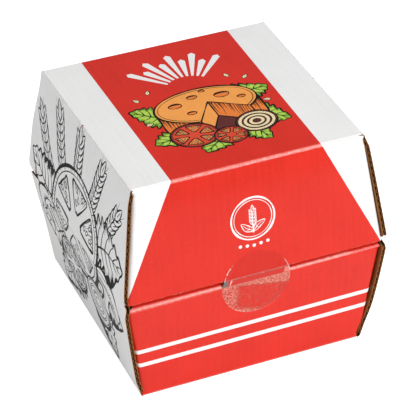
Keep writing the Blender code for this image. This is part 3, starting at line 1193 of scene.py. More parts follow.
class Bench:
    """A short way to add and join the nodes of one node tree."""

    def __init__(self, tree: bpy.types.NodeTree) -> None:
        self.tree = tree

    def add(self, kind: str, **settings: object) -> bpy.types.Node:
        """Adds a node and sets its properties."""
        node = self.tree.nodes.new(kind)
        for name, value in settings.items():
            setattr(node, name, value)
        return node

    def feed(self, socket: bpy.types.NodeSocket, value: object) -> None:
        """Links an input to a value's socket, or sets it to a plain value."""
        if isinstance(value, Value):
            self.tree.links.new(value.socket, socket)
        else:
            socket.default_value = value

    def fill(self, node: bpy.types.Node, **values: object) -> None:
        """Feeds a node's inputs by name, with _ for a space."""
        for name, value in values.items():
            self.feed(node.inputs[name.replace("_", " ")], value)

    def given(self, node: bpy.types.Node) -> dict[str, Value]:
        """A node's outputs by name."""
        return {socket.name: Value(self, socket) for socket in node.outputs}

    def math(self, operation: str, *values: Operand) -> Value:
        """The result of a Math node."""
        node = self.add("ShaderNodeMath", operation=operation)
        for socket, value in zip(node.inputs, values):
            self.feed(socket, value)
        return Value(self, node.outputs[0])

    def vector(self, operation: str, *values: object) -> Value:
        """The result of a Vector Math node."""
        node = self.add("ShaderNodeVectorMath", operation=operation)
        for socket, value in zip((socket for socket in node.inputs if socket.enabled), values):
            self.feed(socket, value)
        return Value(self, next(socket for socket in node.outputs if socket.enabled))

    def parts(self, vector: Value) -> list[Value]:
        """The x, y and z of a vector."""
        node = self.add("ShaderNodeSeparateXYZ")
        self.feed(node.inputs[0], vector)
        return [Value(self, socket) for socket in node.outputs]

    def mix(self, share: Operand, first: Value | Tone, second: Value | Tone) -> Value:
        """A colour between two colours."""
        node = self.add("ShaderNodeMix", data_type="RGBA")
        self.feed(node.inputs[0], share)
        for socket, tone in ((node.inputs[6], first), (node.inputs[7], second)):
            self.feed(socket, tone if isinstance(tone, Value) else (*tone, 1.0))
        return Value(self, node.outputs[2])

    def noise(self, place: Value, scale: float, detail: float = 2.0, rough: float = 0.5) -> Value:
        """The value of a Noise Texture."""
        node = self.add("ShaderNodeTexNoise")
        self.fill(node, Vector=place, Scale=scale, Detail=detail, Roughness=rough)
        return Value(self, node.outputs[0])

    def noted(self, name: str, output: str = "Fac") -> Value:
        """What a sheet noted on its mesh under a name."""
        return self.given(self.add("ShaderNodeAttribute", attribute_name=name))[output]

    def bump(self, height: Value, distance: float, strength: float = 1.0, below: Value | None = None) -> Value:
        """The normal from a height, with the depth of its relief in millimetres."""
        node = self.add("ShaderNodeBump")
        self.fill(node, Strength=strength, Distance=distance * MM, Height=height)
        if below is not None:
            self.fill(node, Normal=below)
        return Value(self, node.outputs["Normal"])

    def group(self, tree: bpy.types.NodeTree, **values: object) -> dict[str, Value]:
        """Places a node group, feeds its inputs by name, and returns its outputs by name."""
        node = self.add("ShaderNodeGroup", node_tree=tree)
        self.fill(node, **values)
        return self.given(node)

    def passed(self, kind: str, surface: Value, **values: object) -> Value:
        """A surface after a geometry node, whose other inputs are fed by name."""
        node = self.add(kind)
        self.feed(node.inputs[0], surface)
        self.fill(node, **values)
        return Value(self, node.outputs[0])

    def give(self, **results: Value) -> bpy.types.NodeTree:
        """Ends a shader group with its outputs, all plain values, named with _ for a space."""
        for name in results:
            label = name.replace("_", " ")
            self.tree.interface.new_socket(label, in_out="OUTPUT", socket_type="NodeSocketFloat")
        self.fill(self.add("NodeGroupOutput"), **results)
        return self.tree


def start_group(name: str, vector: str, numbers: dict[str, float] | None = None) -> tuple[Bench, dict[str, Value]]:
    """Starts a shader node group.

    Args:
        name: the group's name.
        vector: the name of its input for a place.
        numbers: the name and usual value of each other input.

    Returns:
        The bench to build on, and the group's inputs by name.
    """
    tree = bpy.data.node_groups.new(name, "ShaderNodeTree")
    tree.interface.new_socket(vector, in_out="INPUT", socket_type="NodeSocketVector")
    for label, usual in (numbers or {}).items():
        tree.interface.new_socket(label, in_out="INPUT", socket_type="NodeSocketFloat").default_value = usual
    bench = Bench(tree)
    return bench, bench.given(bench.add("NodeGroupInput"))


class Effects:
    """The shader groups that more than one material uses, each built once.

    The numbers of a span are distances in millimetres on the flat sheet, or shares of a noise or a height.
    """

    def __init__(self) -> None:
        self.washboard = self.make_washboard()
        self.mottle = self.make_mottle()
        self.wear_and_highlight = self.make_wear_and_highlight()
        self.fibre = self.make_fibre()
        self.haze = self.make_haze()

    @staticmethod
    def make_washboard() -> bpy.types.NodeTree:
        """The faint ridges that the flutes press through the outer paper, along the flat sheet, and lighter streaks
        along them that the inks mix in as a painted sheen.
        """
        bench, given = start_group("washboard", "Flat", {"Pitch": FLUTE_PITCH, "Unevenness": 0.5})
        drawn_out = bench.vector("MULTIPLY", given["Flat"], (1.0, 0.06, 0.0))
        slow = bench.noise(drawn_out, 0.16)
        fine = bench.noise(drawn_out, 0.55, 3.0, 0.6)
        turns = bench.parts(given["Flat"])[0] / given["Pitch"]
        ridge = bench.math("SINE", turns * (2 * math.pi) + slow * 3.0) * 0.5 + 0.5
        height = ridge * slow.span(0.35, 0.7, 0.25, 1.0) * 0.7 + fine * given["Unevenness"]
        # The second output masks the painted sheen: lighter streaks that stand for the light the ridges catch.
        return bench.give(Height=height, Streak=fine.span(0.3, 0.7))

    @staticmethod
    def make_mottle() -> bpy.types.NodeTree:
        """Uneven ink and coating, from broad clouds down to specks."""
        bench, given = start_group("ink_mottle", "Flat")
        flat = given["Flat"]
        cloud = bench.noise(flat, 0.05) * 0.6 + bench.noise(flat, 0.7, 3.0) * 0.4
        speck = bench.noise(flat, 5.5, 2.0, 0.7)
        return bench.give(Cloud=cloud, Speck=speck.span(0.7, 0.82), Height=speck)

    @staticmethod
    def make_wear_and_highlight() -> bpy.types.NodeTree:
        """Paler ridges along the creases, where the ink is worn by rubbing and a highlight is painted, fine cracks
        along them, and frayed paper along the cut edges.
        """
        usual = {"Crease": 9.0, "Edge": 9.0, "Crack": 0.5, "Fray": 0.5}
        bench, given = start_group("crease_wear_and_highlight", "Flat", usual)
        wander = bench.noise(given["Flat"], 0.5, 4.0, 0.65)
        grain = bench.noise(given["Flat"], 3.2, 3.0, 0.7)
        # A band along each crease, and along the rolled rim, where the ink is lightened: partly worn ink, partly a
        # painted highlight.
        rub_and_highlight = given["Crease"].span(0.2, 1.5, 1.0, 0.0) * wander.span(0.35, 0.65, 0.4, 1.0)
        rough_line = grain * 0.7 + (given["Crease"] - 0.42)
        crack = (rough_line < wander.span(0.45, 0.72) * given["Crack"]) * grain.span(0.3, 0.5, 0.45, 0.95)
        fray_line = grain * 0.9 + (given["Edge"] - 0.38)
        fray = fray_line < given["Fray"] * wander.span(0.4, 0.7)
        return bench.give(Rub=rub_and_highlight, Crack=crack, Fray=fray, Height=grain * rub_and_highlight - crack)

    @staticmethod
    def make_fibre() -> bpy.types.NodeTree:
        """The fibres and flecks of brown paper, at a place in metres."""
        bench, given = start_group("paper_fibre", "Place")
        drawn_out = bench.vector("MULTIPLY", given["Place"], (1.0, 0.25, 1.0))
        fibre = bench.noise(drawn_out, 1900.0, 4.0, 0.7)
        cloud = bench.noise(given["Place"], 220.0, 3.0, 0.6)
        fleck = bench.noise(drawn_out, 2600.0).span(0.66, 0.74)
        return bench.give(Shade=fibre * 0.6 + cloud * 0.4, Fleck=fleck, Height=fibre)

    @staticmethod
    def make_haze() -> bpy.types.NodeTree:
        """Where the film shows: its edge as a painted highlight, the strip over the rim, and the patches that
        haven't stuck.
        """
        bench, given = start_group("film_haze", "Flat", {"Edge": 9.0})
        flat, edge = given["Flat"], given["Edge"]
        across, upward, _ = bench.parts(flat)
        grain = bench.noise(flat, 1.15, 1.5, 0.6)
        speckle = grain.span(0.43, 0.57)
        wobble = bench.noise(flat, 0.45, 3.0, 0.6) - 0.5
        near = wobble * 6.0 + across
        far = grain * 1.5 + across
        on_tray = upward.span(-3.2, -2.8, 1.0, 0.0)
        bridge = upward.span(-0.3, 0.0, 1.0, 0.0) * (1.0 - on_tray)
        # The film on the tray
        thickness = (across * 0.17 + 2.8).most(1.4)
        in_band = (wobble * 3.0 + (upward + 2.9) + thickness).span(-0.7, 0.7)
        under_rim = in_band * grain.span(0.36, 0.58, 0.22, 0.95)
        left = near.span(-9.4, -5.4, 0.95, 0.0) * speckle
        stripe = abs(across + 8.2).span(0.3, 0.9, 0.7, 0.0) * speckle * upward.span(-10.0, -8.0)
        specks = bench.noise(flat, 1.3, 2.0, 0.6).span(0.55, 0.64, 0.0, 0.6)
        bottom = (wobble * 3.5 + edge).span(0.8, 3.0, 0.95, 0.0) * speckle * across.span(-2.0, 6.0, 1.0, 0.25)
        low = under_rim.most(left, stripe, specks, bottom) * on_tray
        # The film over the seam and on the lid
        far_end = bridge * far.span(13.2, 13.8, 0.0, 0.7)
        high = grain.span(0.56, 0.68) * upward.span(0.2, 0.8, 0.0, 0.16)
        # The film's outline, a painted highlight that only shows in stretches
        broken = bench.noise(flat, 0.7, 3.0).span(0.42, 0.52, 0.1, 1.0)
        left_arc = across.span(-10.5, -8.5, 1.0, 0.0) * broken
        right_arc = across.span(11.5, 13.0, 0.0, 0.6) * upward.span(3.0, 4.5, 1.0, 0.0)
        beside = left_arc.most(right_arc) * upward.span(-3.0, -1.0) * upward.span(6.0, 8.0, 1.0, 0.0)
        beneath = upward.span(-16.5, -13.0, 0.4, 0.0) * broken
        line = (wobble * 1.2 + edge).span(0.15, 0.55, 1.0, 0.0) * beside.most(beneath)
        # The crease over the lid's edge and the turned-up tab, as painted highlights, and the opening behind the
        # tab, as painted shadow
        waver = bench.noise(bench.vector("MULTIPLY", flat, (1.0, 0.08, 0.0)), 0.5) * 0.9 - 0.45
        lip = abs(upward + waver).span(0.08, 0.30, 1.0, 0.0) * bench.noise(flat, 0.9).span(0.35, 0.55, 0.15, 0.5)
        tab = abs(near + 10.9).span(0.2, 0.5, 0.8, 0.0) * bridge
        void_shadow = bridge * far.span(-11.6, -11.0, 1.0, 0.0)
        return bench.give(
            Haze=low.most(high, far_end), Edge_line=line.most(lip, tab), Cover=bridge, Void=void_shadow,
            Height=grain * 0.5 + wobble,
        )


def start_material(name: str) -> tuple[bpy.types.Material, Bench, bpy.types.Node]:
    """Starts a material, and returns it with a bench and its Principled BSDF."""
    made = bpy.data.materials.new(name)
    made.use_nodes = True
    return made, Bench(made.node_tree), made.node_tree.nodes["Principled BSDF"]


@dataclass(frozen=True)
class PrintFinish:
    """Coated board under one printed ink, or bare."""

    ink: Ink
    tone: Tone
    roughness: float = 0.36
    crack: float = 0.5
    fray: float = 0.15
    shine: float = 1.0
    mottle: float = 0.05
    cracked: Tone = (0.80, 0.62, 0.52)
    frayed: Tone = (0.72, 0.62, 0.50)
    # The paler tone along the creases and the rolled rim: worn ink and a painted highlight.
    rubbed_highlight_tone: Tone = (1.0, 0.46, 0.41)
    speck: Tone = (0.9, 0.88, 0.85)

    def shaded(self, gain: float, lift: float = 0.0) -> Tone:
        """The ink's tone made paler or deeper."""
        return tuple(min(1.0, value * gain + lift) for value in self.tone)

    def material(self, effects: Effects) -> bpy.types.Material:
        """Builds the material of this ink on the board."""
        made, bench, shader = start_material(self.ink.value)
        flat = bench.noted("flat_place", "Vector")
        ridges = bench.group(effects.washboard, Flat=flat)
        ink = bench.group(effects.mottle, Flat=flat)
        wear_and_highlight = bench.group(
            effects.wear_and_highlight, Flat=flat, Crease=bench.noted("crease_distance"), Edge=bench.noted("edge_distance"),
            Crack=self.crack, Fray=self.fray,
        )
        deep = self.shaded(1 - self.mottle * 1.6)
        tone = bench.mix(ink["Cloud"].span(0.3, 0.7), deep, self.shaded(1 + self.mottle, self.mottle * 0.04))
        # The ink's tone, then the painted sheen of the flute streaks, specks, the paler crease tone with its painted
        # highlight, cracks and fraying, mixed in that order.
        for share, over in (
            (ridges["Streak"] * 0.4, self.shaded(1 + self.mottle * 2.4)),
            (ink["Speck"] * 0.10, self.speck),
            (wear_and_highlight["Rub"] * 0.46, self.rubbed_highlight_tone),
            (wear_and_highlight["Crack"], self.cracked),
            (wear_and_highlight["Fray"] * 0.8, self.frayed),
        ):
            tone = bench.mix(share, tone, over)
        roughness = wear_and_highlight["Crack"] * 0.35 + ink["Cloud"] * 0.04 + ridges["Streak"] * 0.05 + (self.roughness - 0.02)
        ridged = bench.bump(ridges["Height"], 0.12, 0.8)
        worn = bench.bump(wear_and_highlight["Height"], 0.05, 0.6, ridged)
        bench.fill(
            shader, Base_Color=tone, Roughness=roughness, Specular_IOR_Level=0.16 * self.shine,
            Coat_Weight=wear_and_highlight["Crack"].span(0.0, 1.0, 0.45 * self.shine, 0.0), Coat_Roughness=0.13,
            Normal=bench.bump(ink["Height"], 0.004, 0.5, worn),
        )
        return made


@dataclass(frozen=True)
class PaperFinish:
    """Brown paper: the inside of the board and its flutes, darkened as painted shade, or a cut edge."""

    ink: Ink
    tone: Tone
    dark: Tone
    # The near-black tone painted into the flute openings of a cut edge: painted shade.
    hollow: Tone | None = None

    def material(self, effects: Effects) -> bpy.types.Material:
        """Builds the material, with the wave of the flutes drawn across it where it is a cut edge and its openings
        painted dark as shade.
        """
        made, bench, shader = start_material(self.ink.value)
        paper = bench.group(effects.fibre, Place=bench.given(bench.add("ShaderNodeTexCoord"))["Object"])
        tone = bench.mix(paper["Shade"].span(0.3, 0.7), self.dark, self.tone)
        tone = bench.mix(paper["Fleck"] * 0.5, tone, tuple(value * 0.35 for value in self.dark))
        if self.hollow:
            along, _, deep = bench.parts(bench.noted("flat_place", "Vector"))
            wave = bench.math("SINE", along * (2 * math.pi / FLUTE_PITCH)) * 0.3 + 0.5
            # The openings between the flutes, where the cut edge is painted dark as shade.
            flute_opening_shade = abs(deep - wave).span(0.09, 0.15) * abs(deep - 0.5).span(0.36, 0.33)
            tone = bench.mix(flute_opening_shade * 0.93, tone, self.hollow)
        normal = bench.bump(paper["Height"], 0.05, 0.8)
        bench.fill(shader, Base_Color=tone, Roughness=0.85, Specular_IOR_Level=0.2, Normal=normal)
        return made


@dataclass(frozen=True)
class FilmFinish:
    """The clear seal's film, which shows where its edge or its unstuck patches catch the light."""

    ink: Ink = Ink.FILM
    clear: Tone = (0.62, 0.036, 0.023)
    hazed: Tone = (0.80, 0.30, 0.23)
    # The pale tone of the film's edge line, tab and crease: a painted highlight.
    edge: Tone = (0.95, 0.80, 0.75)
    # The dark grey of the opening behind the film's lifted tab: a painted shadow.
    void_shadow: Tone = (0.17, 0.155, 0.14)

    def material(self, effects: Effects) -> bpy.types.Material:
        """Builds the film's material."""
        made, bench, shader = start_material(self.ink.value)
        flat = bench.noted("flat_place", "Vector")
        film = bench.group(effects.haze, Flat=flat, Edge=bench.noted("edge_distance"))
        tone = bench.mix(film["Haze"], self.clear, self.hazed)
        tone = bench.mix(film["Edge line"], tone, self.edge)
        tone = bench.mix(film["Void"], tone, self.void_shadow)
        bench.fill(
            shader, Base_Color=tone, Roughness=film["Haze"].span(0.0, 1.0, 0.25, 0.5), Specular_IOR_Level=0.3,
            Alpha=(film["Haze"] * 0.70 + 0.08).most(film["Edge line"] * 0.7, film["Cover"] * 0.88),
            Normal=bench.bump(film["Height"], 0.08, 0.6),
        )
        return made


FINISHES = (
    PrintFinish(
        Ink.BOARD, (0.82, 0.82, 0.815), roughness=0.42, crack=0.10, cracked=(0.50, 0.40, 0.31), mottle=0.02,
        rubbed_highlight_tone=(0.90, 0.89, 0.88),
    ),
    PrintFinish(Ink.RED, (0.645, 0.016, 0.005), crack=0.04),
    PrintFinish(Ink.BLACK, (0.010, 0.009, 0.009), shine=0.12, mottle=0.10),
    PrintFinish(Ink.ORANGE, (0.78, 0.20, 0.03)),
    PrintFinish(Ink.AMBER, (0.86, 0.34, 0.07)),
    PrintFinish(Ink.TOMATO, (0.66, 0.055, 0.02)),
    PrintFinish(Ink.MAROON, (0.10, 0.012, 0.010)),
    PrintFinish(Ink.LEAF, (0.22, 0.42, 0.035)),
    PrintFinish(Ink.LIME, (0.42, 0.62, 0.08)),
    PrintFinish(Ink.CREAM, (0.84, 0.70, 0.42)),
    PaperFinish(Ink.KRAFT, (0.36, 0.145, 0.040), (0.20, 0.075, 0.020)),
    # Near-black paper for the board's inside: painted shade.
    PaperFinish(Ink.FLUTE_SHADE, (0.10, 0.044, 0.014), (0.05, 0.021, 0.007)),
    # A cut edge in brown, with near-black painted shade in its flute openings.
    PaperFinish(Ink.CUT, (0.44, 0.24, 0.10), (0.26, 0.13, 0.048), hollow=(0.02, 0.013, 0.008)),
    FilmFinish(),
)


@dataclass
class Flutes:
    """The wavy middle paper of the board, as a Geometry Nodes tree with named sizes."""

    pitch: float = FLUTE_PITCH
    wave: float = 0.92
    paper: float = 0.2
    steps: int = 10
    lengths: int = 24
    sunk: float = 0.4
    short: float = 1.6
    tree: bpy.types.NodeTree = field(init=False)
    sockets: dict[str, str] = field(init=False, default_factory=dict)

    def __post_init__(self) -> None:
        self.tree = bpy.data.node_groups.new("fluted_paper", "GeometryNodeTree")
        for kind, names in (
            ("Float", ("Length", "Edge low", "Edge high", "Corner", "Pitch", "Wave", "Paper")),
            ("Vector", ("Foot", "Up", "Across", "Out")),
            ("Int", ("Rows",)),
            ("Material", ("Paper look",)),
        ):
            for name in names:
                socket = self.tree.interface.new_socket(name, in_out="INPUT", socket_type=f"NodeSocket{kind}")
                self.sockets[name] = socket.identifier
        self.tree.interface.new_socket("Geometry", in_out="OUTPUT", socket_type="NodeSocketGeometry")
        self.build()

    def build(self) -> None:
        """Builds the tree: a grid laid as a wave between two slanted edges, thickened."""
        bench = Bench(self.tree)
        given = bench.given(bench.add("NodeGroupInput"))
        grid = bench.add("GeometryNodeMeshGrid")
        bench.fill(grid, Size_X=1.0, Size_Y=1.0, Vertices_X=self.lengths + 1, Vertices_Y=given["Rows"])
        side, along, _ = bench.parts(bench.given(bench.add("GeometryNodeInputPosition"))["Position"])
        share = along + 0.5
        upward = share * given["Length"]
        edge = (given["Edge high"] - given["Edge low"]) * share + given["Edge low"]
        corner = given["Corner"]
        into = (corner - upward).most(0.0)
        squares = bench.math("POWER", corner, 2.0) - bench.math("POWER", into, 2.0)
        rounded = corner - bench.math("SQRT", squares.most(0.0))
        reach = (edge - rounded) * (side * 2.0)
        drift = bench.vector("SCALE", given["Up"], share * 2.0)
        uneven = bench.noise(bench.vector("ADD", drift, given["Foot"]), 3.0)
        phase = uneven * 2.5 + upward / given["Pitch"] * (2 * math.pi)
        depth = bench.math("SINE", phase) * (given["Wave"] * 0.5)
        place = given["Foot"]
        for axis, amount in (("Across", reach), ("Up", upward), ("Out", depth)):
            place = bench.vector("ADD", place, bench.vector("SCALE", given[axis], amount))
        laid = bench.passed("GeometryNodeSetPosition", bench.given(grid)["Mesh"], Position=place)
        raised = bench.passed("GeometryNodeExtrudeMesh", laid, Offset_Scale=given["Paper"], Individual=False)
        both = bench.add("GeometryNodeJoinGeometry")
        for surface in (raised, bench.passed("GeometryNodeFlipFaces", laid)):
            bench.feed(both.inputs[0], surface)
        welded = bench.passed("GeometryNodeMergeByDistance", bench.given(both)["Geometry"], Distance=WELD * MM * 100)
        real = bench.passed("GeometryNodeRealizeInstances", welded)
        dressed = bench.passed("GeometryNodeSetMaterial", real, Material=given["Paper look"])
        bench.fill(bench.add("NodeGroupOutput"), Geometry=dressed)

    def make(
        self, name: str, wall: SideWall, look: bpy.types.Material, cut_look: bpy.types.Material
    ) -> bpy.types.Object:
        """Makes the flutes of a side wall, whose ends show at its cut edges.

        Args:
            name: the object's name.
            wall: the side wall.
            look: the material.
            cut_look: the material of the paper's cut edges.

        Returns:
            The object, with its place in its mesh.
        """
        half = wall.half
        sign = 1.0 if wall.up else -1.0
        seam = abs(half.side_edge - half.seam_height)
        sunk, corner = (max(values) for values in zip(*wall.corners))
        sunk += self.sunk
        length = wall.slant() - seam - sunk - self.short
        foot = Vector((wall.side * float(half.side_x(half.side_edge)), 0.0, half.side_edge))
        head = Vector((wall.side * half.flat_width / 2, 0.0, half.flat_height))
        up = (head - foot).normalized()
        out = Vector((wall.side * abs(up.z), 0.0, -wall.side * up.x * math.copysign(1.0, up.z))).normalized()
        across = Vector((0.0, float(wall.side) * sign, 0.0))
        middle = foot + up * sunk - out * half.board / 2 - out * self.paper / 2
        values: dict[str, object] = {
            "Length": length * MM,
            "Edge low": float(wall.edge_y(seam + sunk)) * MM,
            "Edge high": float(wall.edge_y(seam + sunk + length * 0.9)) * MM,
            "Corner": corner * MM,
            "Pitch": self.pitch * MM,
            "Wave": self.wave * MM,
            "Paper": self.paper * MM,
            "Foot": middle * MM,
            "Up": up,
            "Across": across,
            "Out": out,
            "Rows": int(length / self.pitch * self.steps),
            "Paper look": look,
        }
        holder = new_object(name, bpy.data.meshes.new(name))
        modifier = holder.modifiers.new("fluted_paper", "NODES")
        modifier.node_group = self.tree
        for key, value in values.items():
            modifier[self.sockets[key]] = tuple(value) if isinstance(value, Vector) else value
        bpy.context.view_layer.update()
        evaluated = holder.evaluated_get(bpy.context.evaluated_depsgraph_get())
        mesh = bpy.data.meshes.new_from_object(evaluated)
        holder.modifiers.remove(modifier)
        holder.data = mesh
        face_slot, cut_slot = mesh.materials.find(look.name), len(mesh.materials)
        mesh.materials.append(cut_look)
        facing = np.zeros(len(mesh.polygons) * 3)
        mesh.polygons.foreach_get("normal", facing)
        cut = np.abs(facing.reshape(-1, 3)[:, 1]) > 0.8
        mesh.polygons.foreach_set("material_index", np.where(cut, cut_slot, face_slot).astype(np.int32))
        places = np.zeros(len(mesh.vertices) * 3)
        mesh.vertices.foreach_get("co", places)
        placed = places.reshape(-1, 3) / MM
        placed[:, 0] += wall.side * wall.fit.bulge(half.share(placed[:, 2]), placed[:, 1])
        mesh.vertices.foreach_set("co", (SLACK.move(placed) * MM).ravel())
        mesh.update()
        return holder


def finish_piece(piece: bpy.types.Object, node: str) -> None:
    """Lets a piece ride on the carton's body and stand for a solid, and reports it."""
    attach(piece, "root")
    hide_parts(node)
    logging.info("%s: %d faces", piece.name, len(piece.data.polygons))


@dataclass
class CartonHalf:
    """What the lid and the tray have in common: a wrap of panels and two side walls."""

    node: str
    half: HalfSizes
    looks: Looks
    flutes: Flutes
    wall_fits: tuple[WallFit, WallFit]
    end_fits: tuple[EndFit, EndFit]
    slits: Point = (0.3, 0.3)
    side_fold: float = 1.0
    recess: float = 1.5
    corners: tuple[Point, Point] = ((0.0, 1.2), (0.3, 3.4))
    liner: float = 0.3
    wrap_board: float = 1.5

    def wrap_outline(self, wrap: Wrap, first: float, last: float) -> Array:
        """The wrap's outline, which is narrow at its folds and has cut corners beside them.

        Args:
            wrap: the folded panels.
            first: how far along the sheet starts.
            last: how far along it ends.

        Returns:
            The loop, anticlockwise.
        """
        ends = wrap.path.ends()
        wall = SideWall(self.half, 1, self.side_fold, self.wall_fits[1], self.corners)
        flat_edge = self.half.flat_width / 2 - wall.path().reach(1)
        low, high = (ends[fold] for fold in self.flat_folds)
        before = np.linspace(first, low - wrap.ramp[0], 30)
        after = np.linspace(high + wrap.ramp[0], last, 30)
        loop = []
        for side in (1, -1):
            fold_x = float(wrap.end_x(np.array([low]), side)[0])
            slit = fold_x - self.slits[side > 0]
            corner = [(fold_x, -0.35), (slit, -0.15), (slit, 0.15), (fold_x, 0.35), (flat_edge, 0.8)]
            edge = np.vstack(
                [
                    np.stack([wrap.reach(before, side), before], axis=1),
                    [(x, low + y) for x, y in corner],
                    [(x, high - y) for x, y in corner[::-1]],
                    np.stack([wrap.reach(after, side), after], axis=1),
                    self.finish_end(wrap, last, side),
                ]
            )
            loop.append(edge if side > 0 else edge[::-1] * np.array([-1.0, 1.0]))
        return np.vstack(loop)

    def finish_end(self, wrap: Wrap, last: float, side: int) -> Array:
        """The outline's last points on one side, after the last panel."""
        return np.empty((0, 2))

    @property
    def flat_folds(self) -> tuple[int, int]:
        """The numbers of the path's corners at the flat panel's two folds."""
        raise NotImplementedError

    def dress_walls(self, drawing: list[Shape]) -> None:
        """Makes both side walls: the printed outer paper, the flutes and the inner paper."""
        net = None
        plain = None
        for side, word, fit in ((-1, "left", self.wall_fits[0]), (1, "right", self.wall_fits[1])):
            wall = SideWall(self.half, side, self.side_fold, fit, self.corners, recess=self.recess)
            creases, guides = wall.creases()
            name = f"{self.node}_wall_{word}"
            printed = Sheet(
                name, wall.outline(), wall.place, self.liner, rim=Ink.KRAFT, back=Ink.FLUTE_SHADE, shapes=drawing,
                creases=creases, guides=guides,
            )
            net = net or printed.net()
            finish_piece(printed.build(self.looks, net), self.node)
            inner = Sheet(
                f"{name}_inner", wall.outline(layer=3.0), wall.place, self.liner, ground=Ink.FLUTE_SHADE,
                rim=Ink.KRAFT, lift=self.half.board - self.liner, spacing=14.0, edge_rows=(1.5,),
            )
            plain = plain or inner.net()
            finish_piece(inner.build(self.looks, plain), self.node)
            flutes = self.flutes.make(f"{name}_flutes", wall, self.looks[Ink.FLUTE_SHADE], self.looks[Ink.KRAFT])
            finish_piece(flutes, self.node)


@dataclass
class Lid(CartonHalf):
    """The upper half, from its front panel's cut edge over the top and down to the hinge crease."""

    fold: float = 1.4
    recess: float = 1.0
    slits: Point = (0.3, 2.2)
    band_left: float = 33.2
    band_right: Point = (31.2, 32.6)
    emblem_height: float = 25.6
    overlap: float = 0.9

    @property
    def flat_folds(self) -> tuple[int, int]:
        """The numbers of the path's corners at the top panel's two folds."""
        return (1, 2)

    def wrap(self) -> Wrap:
        """The front, top and back panels."""
        half = self.half
        y = float(half.panel_y(half.panel_edge))
        top = half.flat_depth / 2
        hinge = (float(half.panel_y(half.seam_height)), half.seam_height)
        corners = ((-y, half.panel_edge), (-top, half.flat_height), (top, half.flat_height), hinge)
        return Wrap(half, FoldedPath(corners, (self.fold, self.fold)), (0, 2), self.end_fits)

    def fields(self, wrap: Wrap) -> list[Shape]:
        """The red band on the top, and the red fields that widen down the front and the back."""
        ends = wrap.path.ends()
        low, high, last = ends[1], ends[2], ends[3]
        wide = float(self.half.panel_x(self.half.panel_edge)) + self.overlap
        past = wide + 9.0
        near, far = self.band_right
        right = [(past, -1.0), (wide, 0.0), (near, low), (far, high), (wide, last), (past, last + 1)]
        left = [(-past, last + 1), (-wide, last), (-self.band_left, high), (-self.band_left, low)]
        return [Shape(Ink.RED, np.array(right + left + [(-wide, 0.0), (-past, -1.0)]))]

    def dress(self, side: Drawing) -> None:
        """Makes the lid's pieces."""
        wrap = self.wrap()
        ends = wrap.path.ends()
        creases, beside = wrap.fold_lines(self.half.flat_width / 2)
        middle = (ends[1] + ends[2]) / 2
        picture = [Shape(shape.ink, shape.loop + np.array([0.0, middle])) for shape in top_drawing().shapes]
        emblem = front_emblem((0.0, self.emblem_height)).shapes
        sheet = Sheet(
            "lid_wrap", self.wrap_outline(wrap, 0.0, float(ends[-1])), wrap.place, self.wrap_board,
            shapes=self.fields(wrap) + picture + emblem, creases=creases,
            guides=beside + wrap.end_lines(),
        )
        finish_piece(sheet.build(self.looks), self.node)
        self.dress_walls(side.shapes)


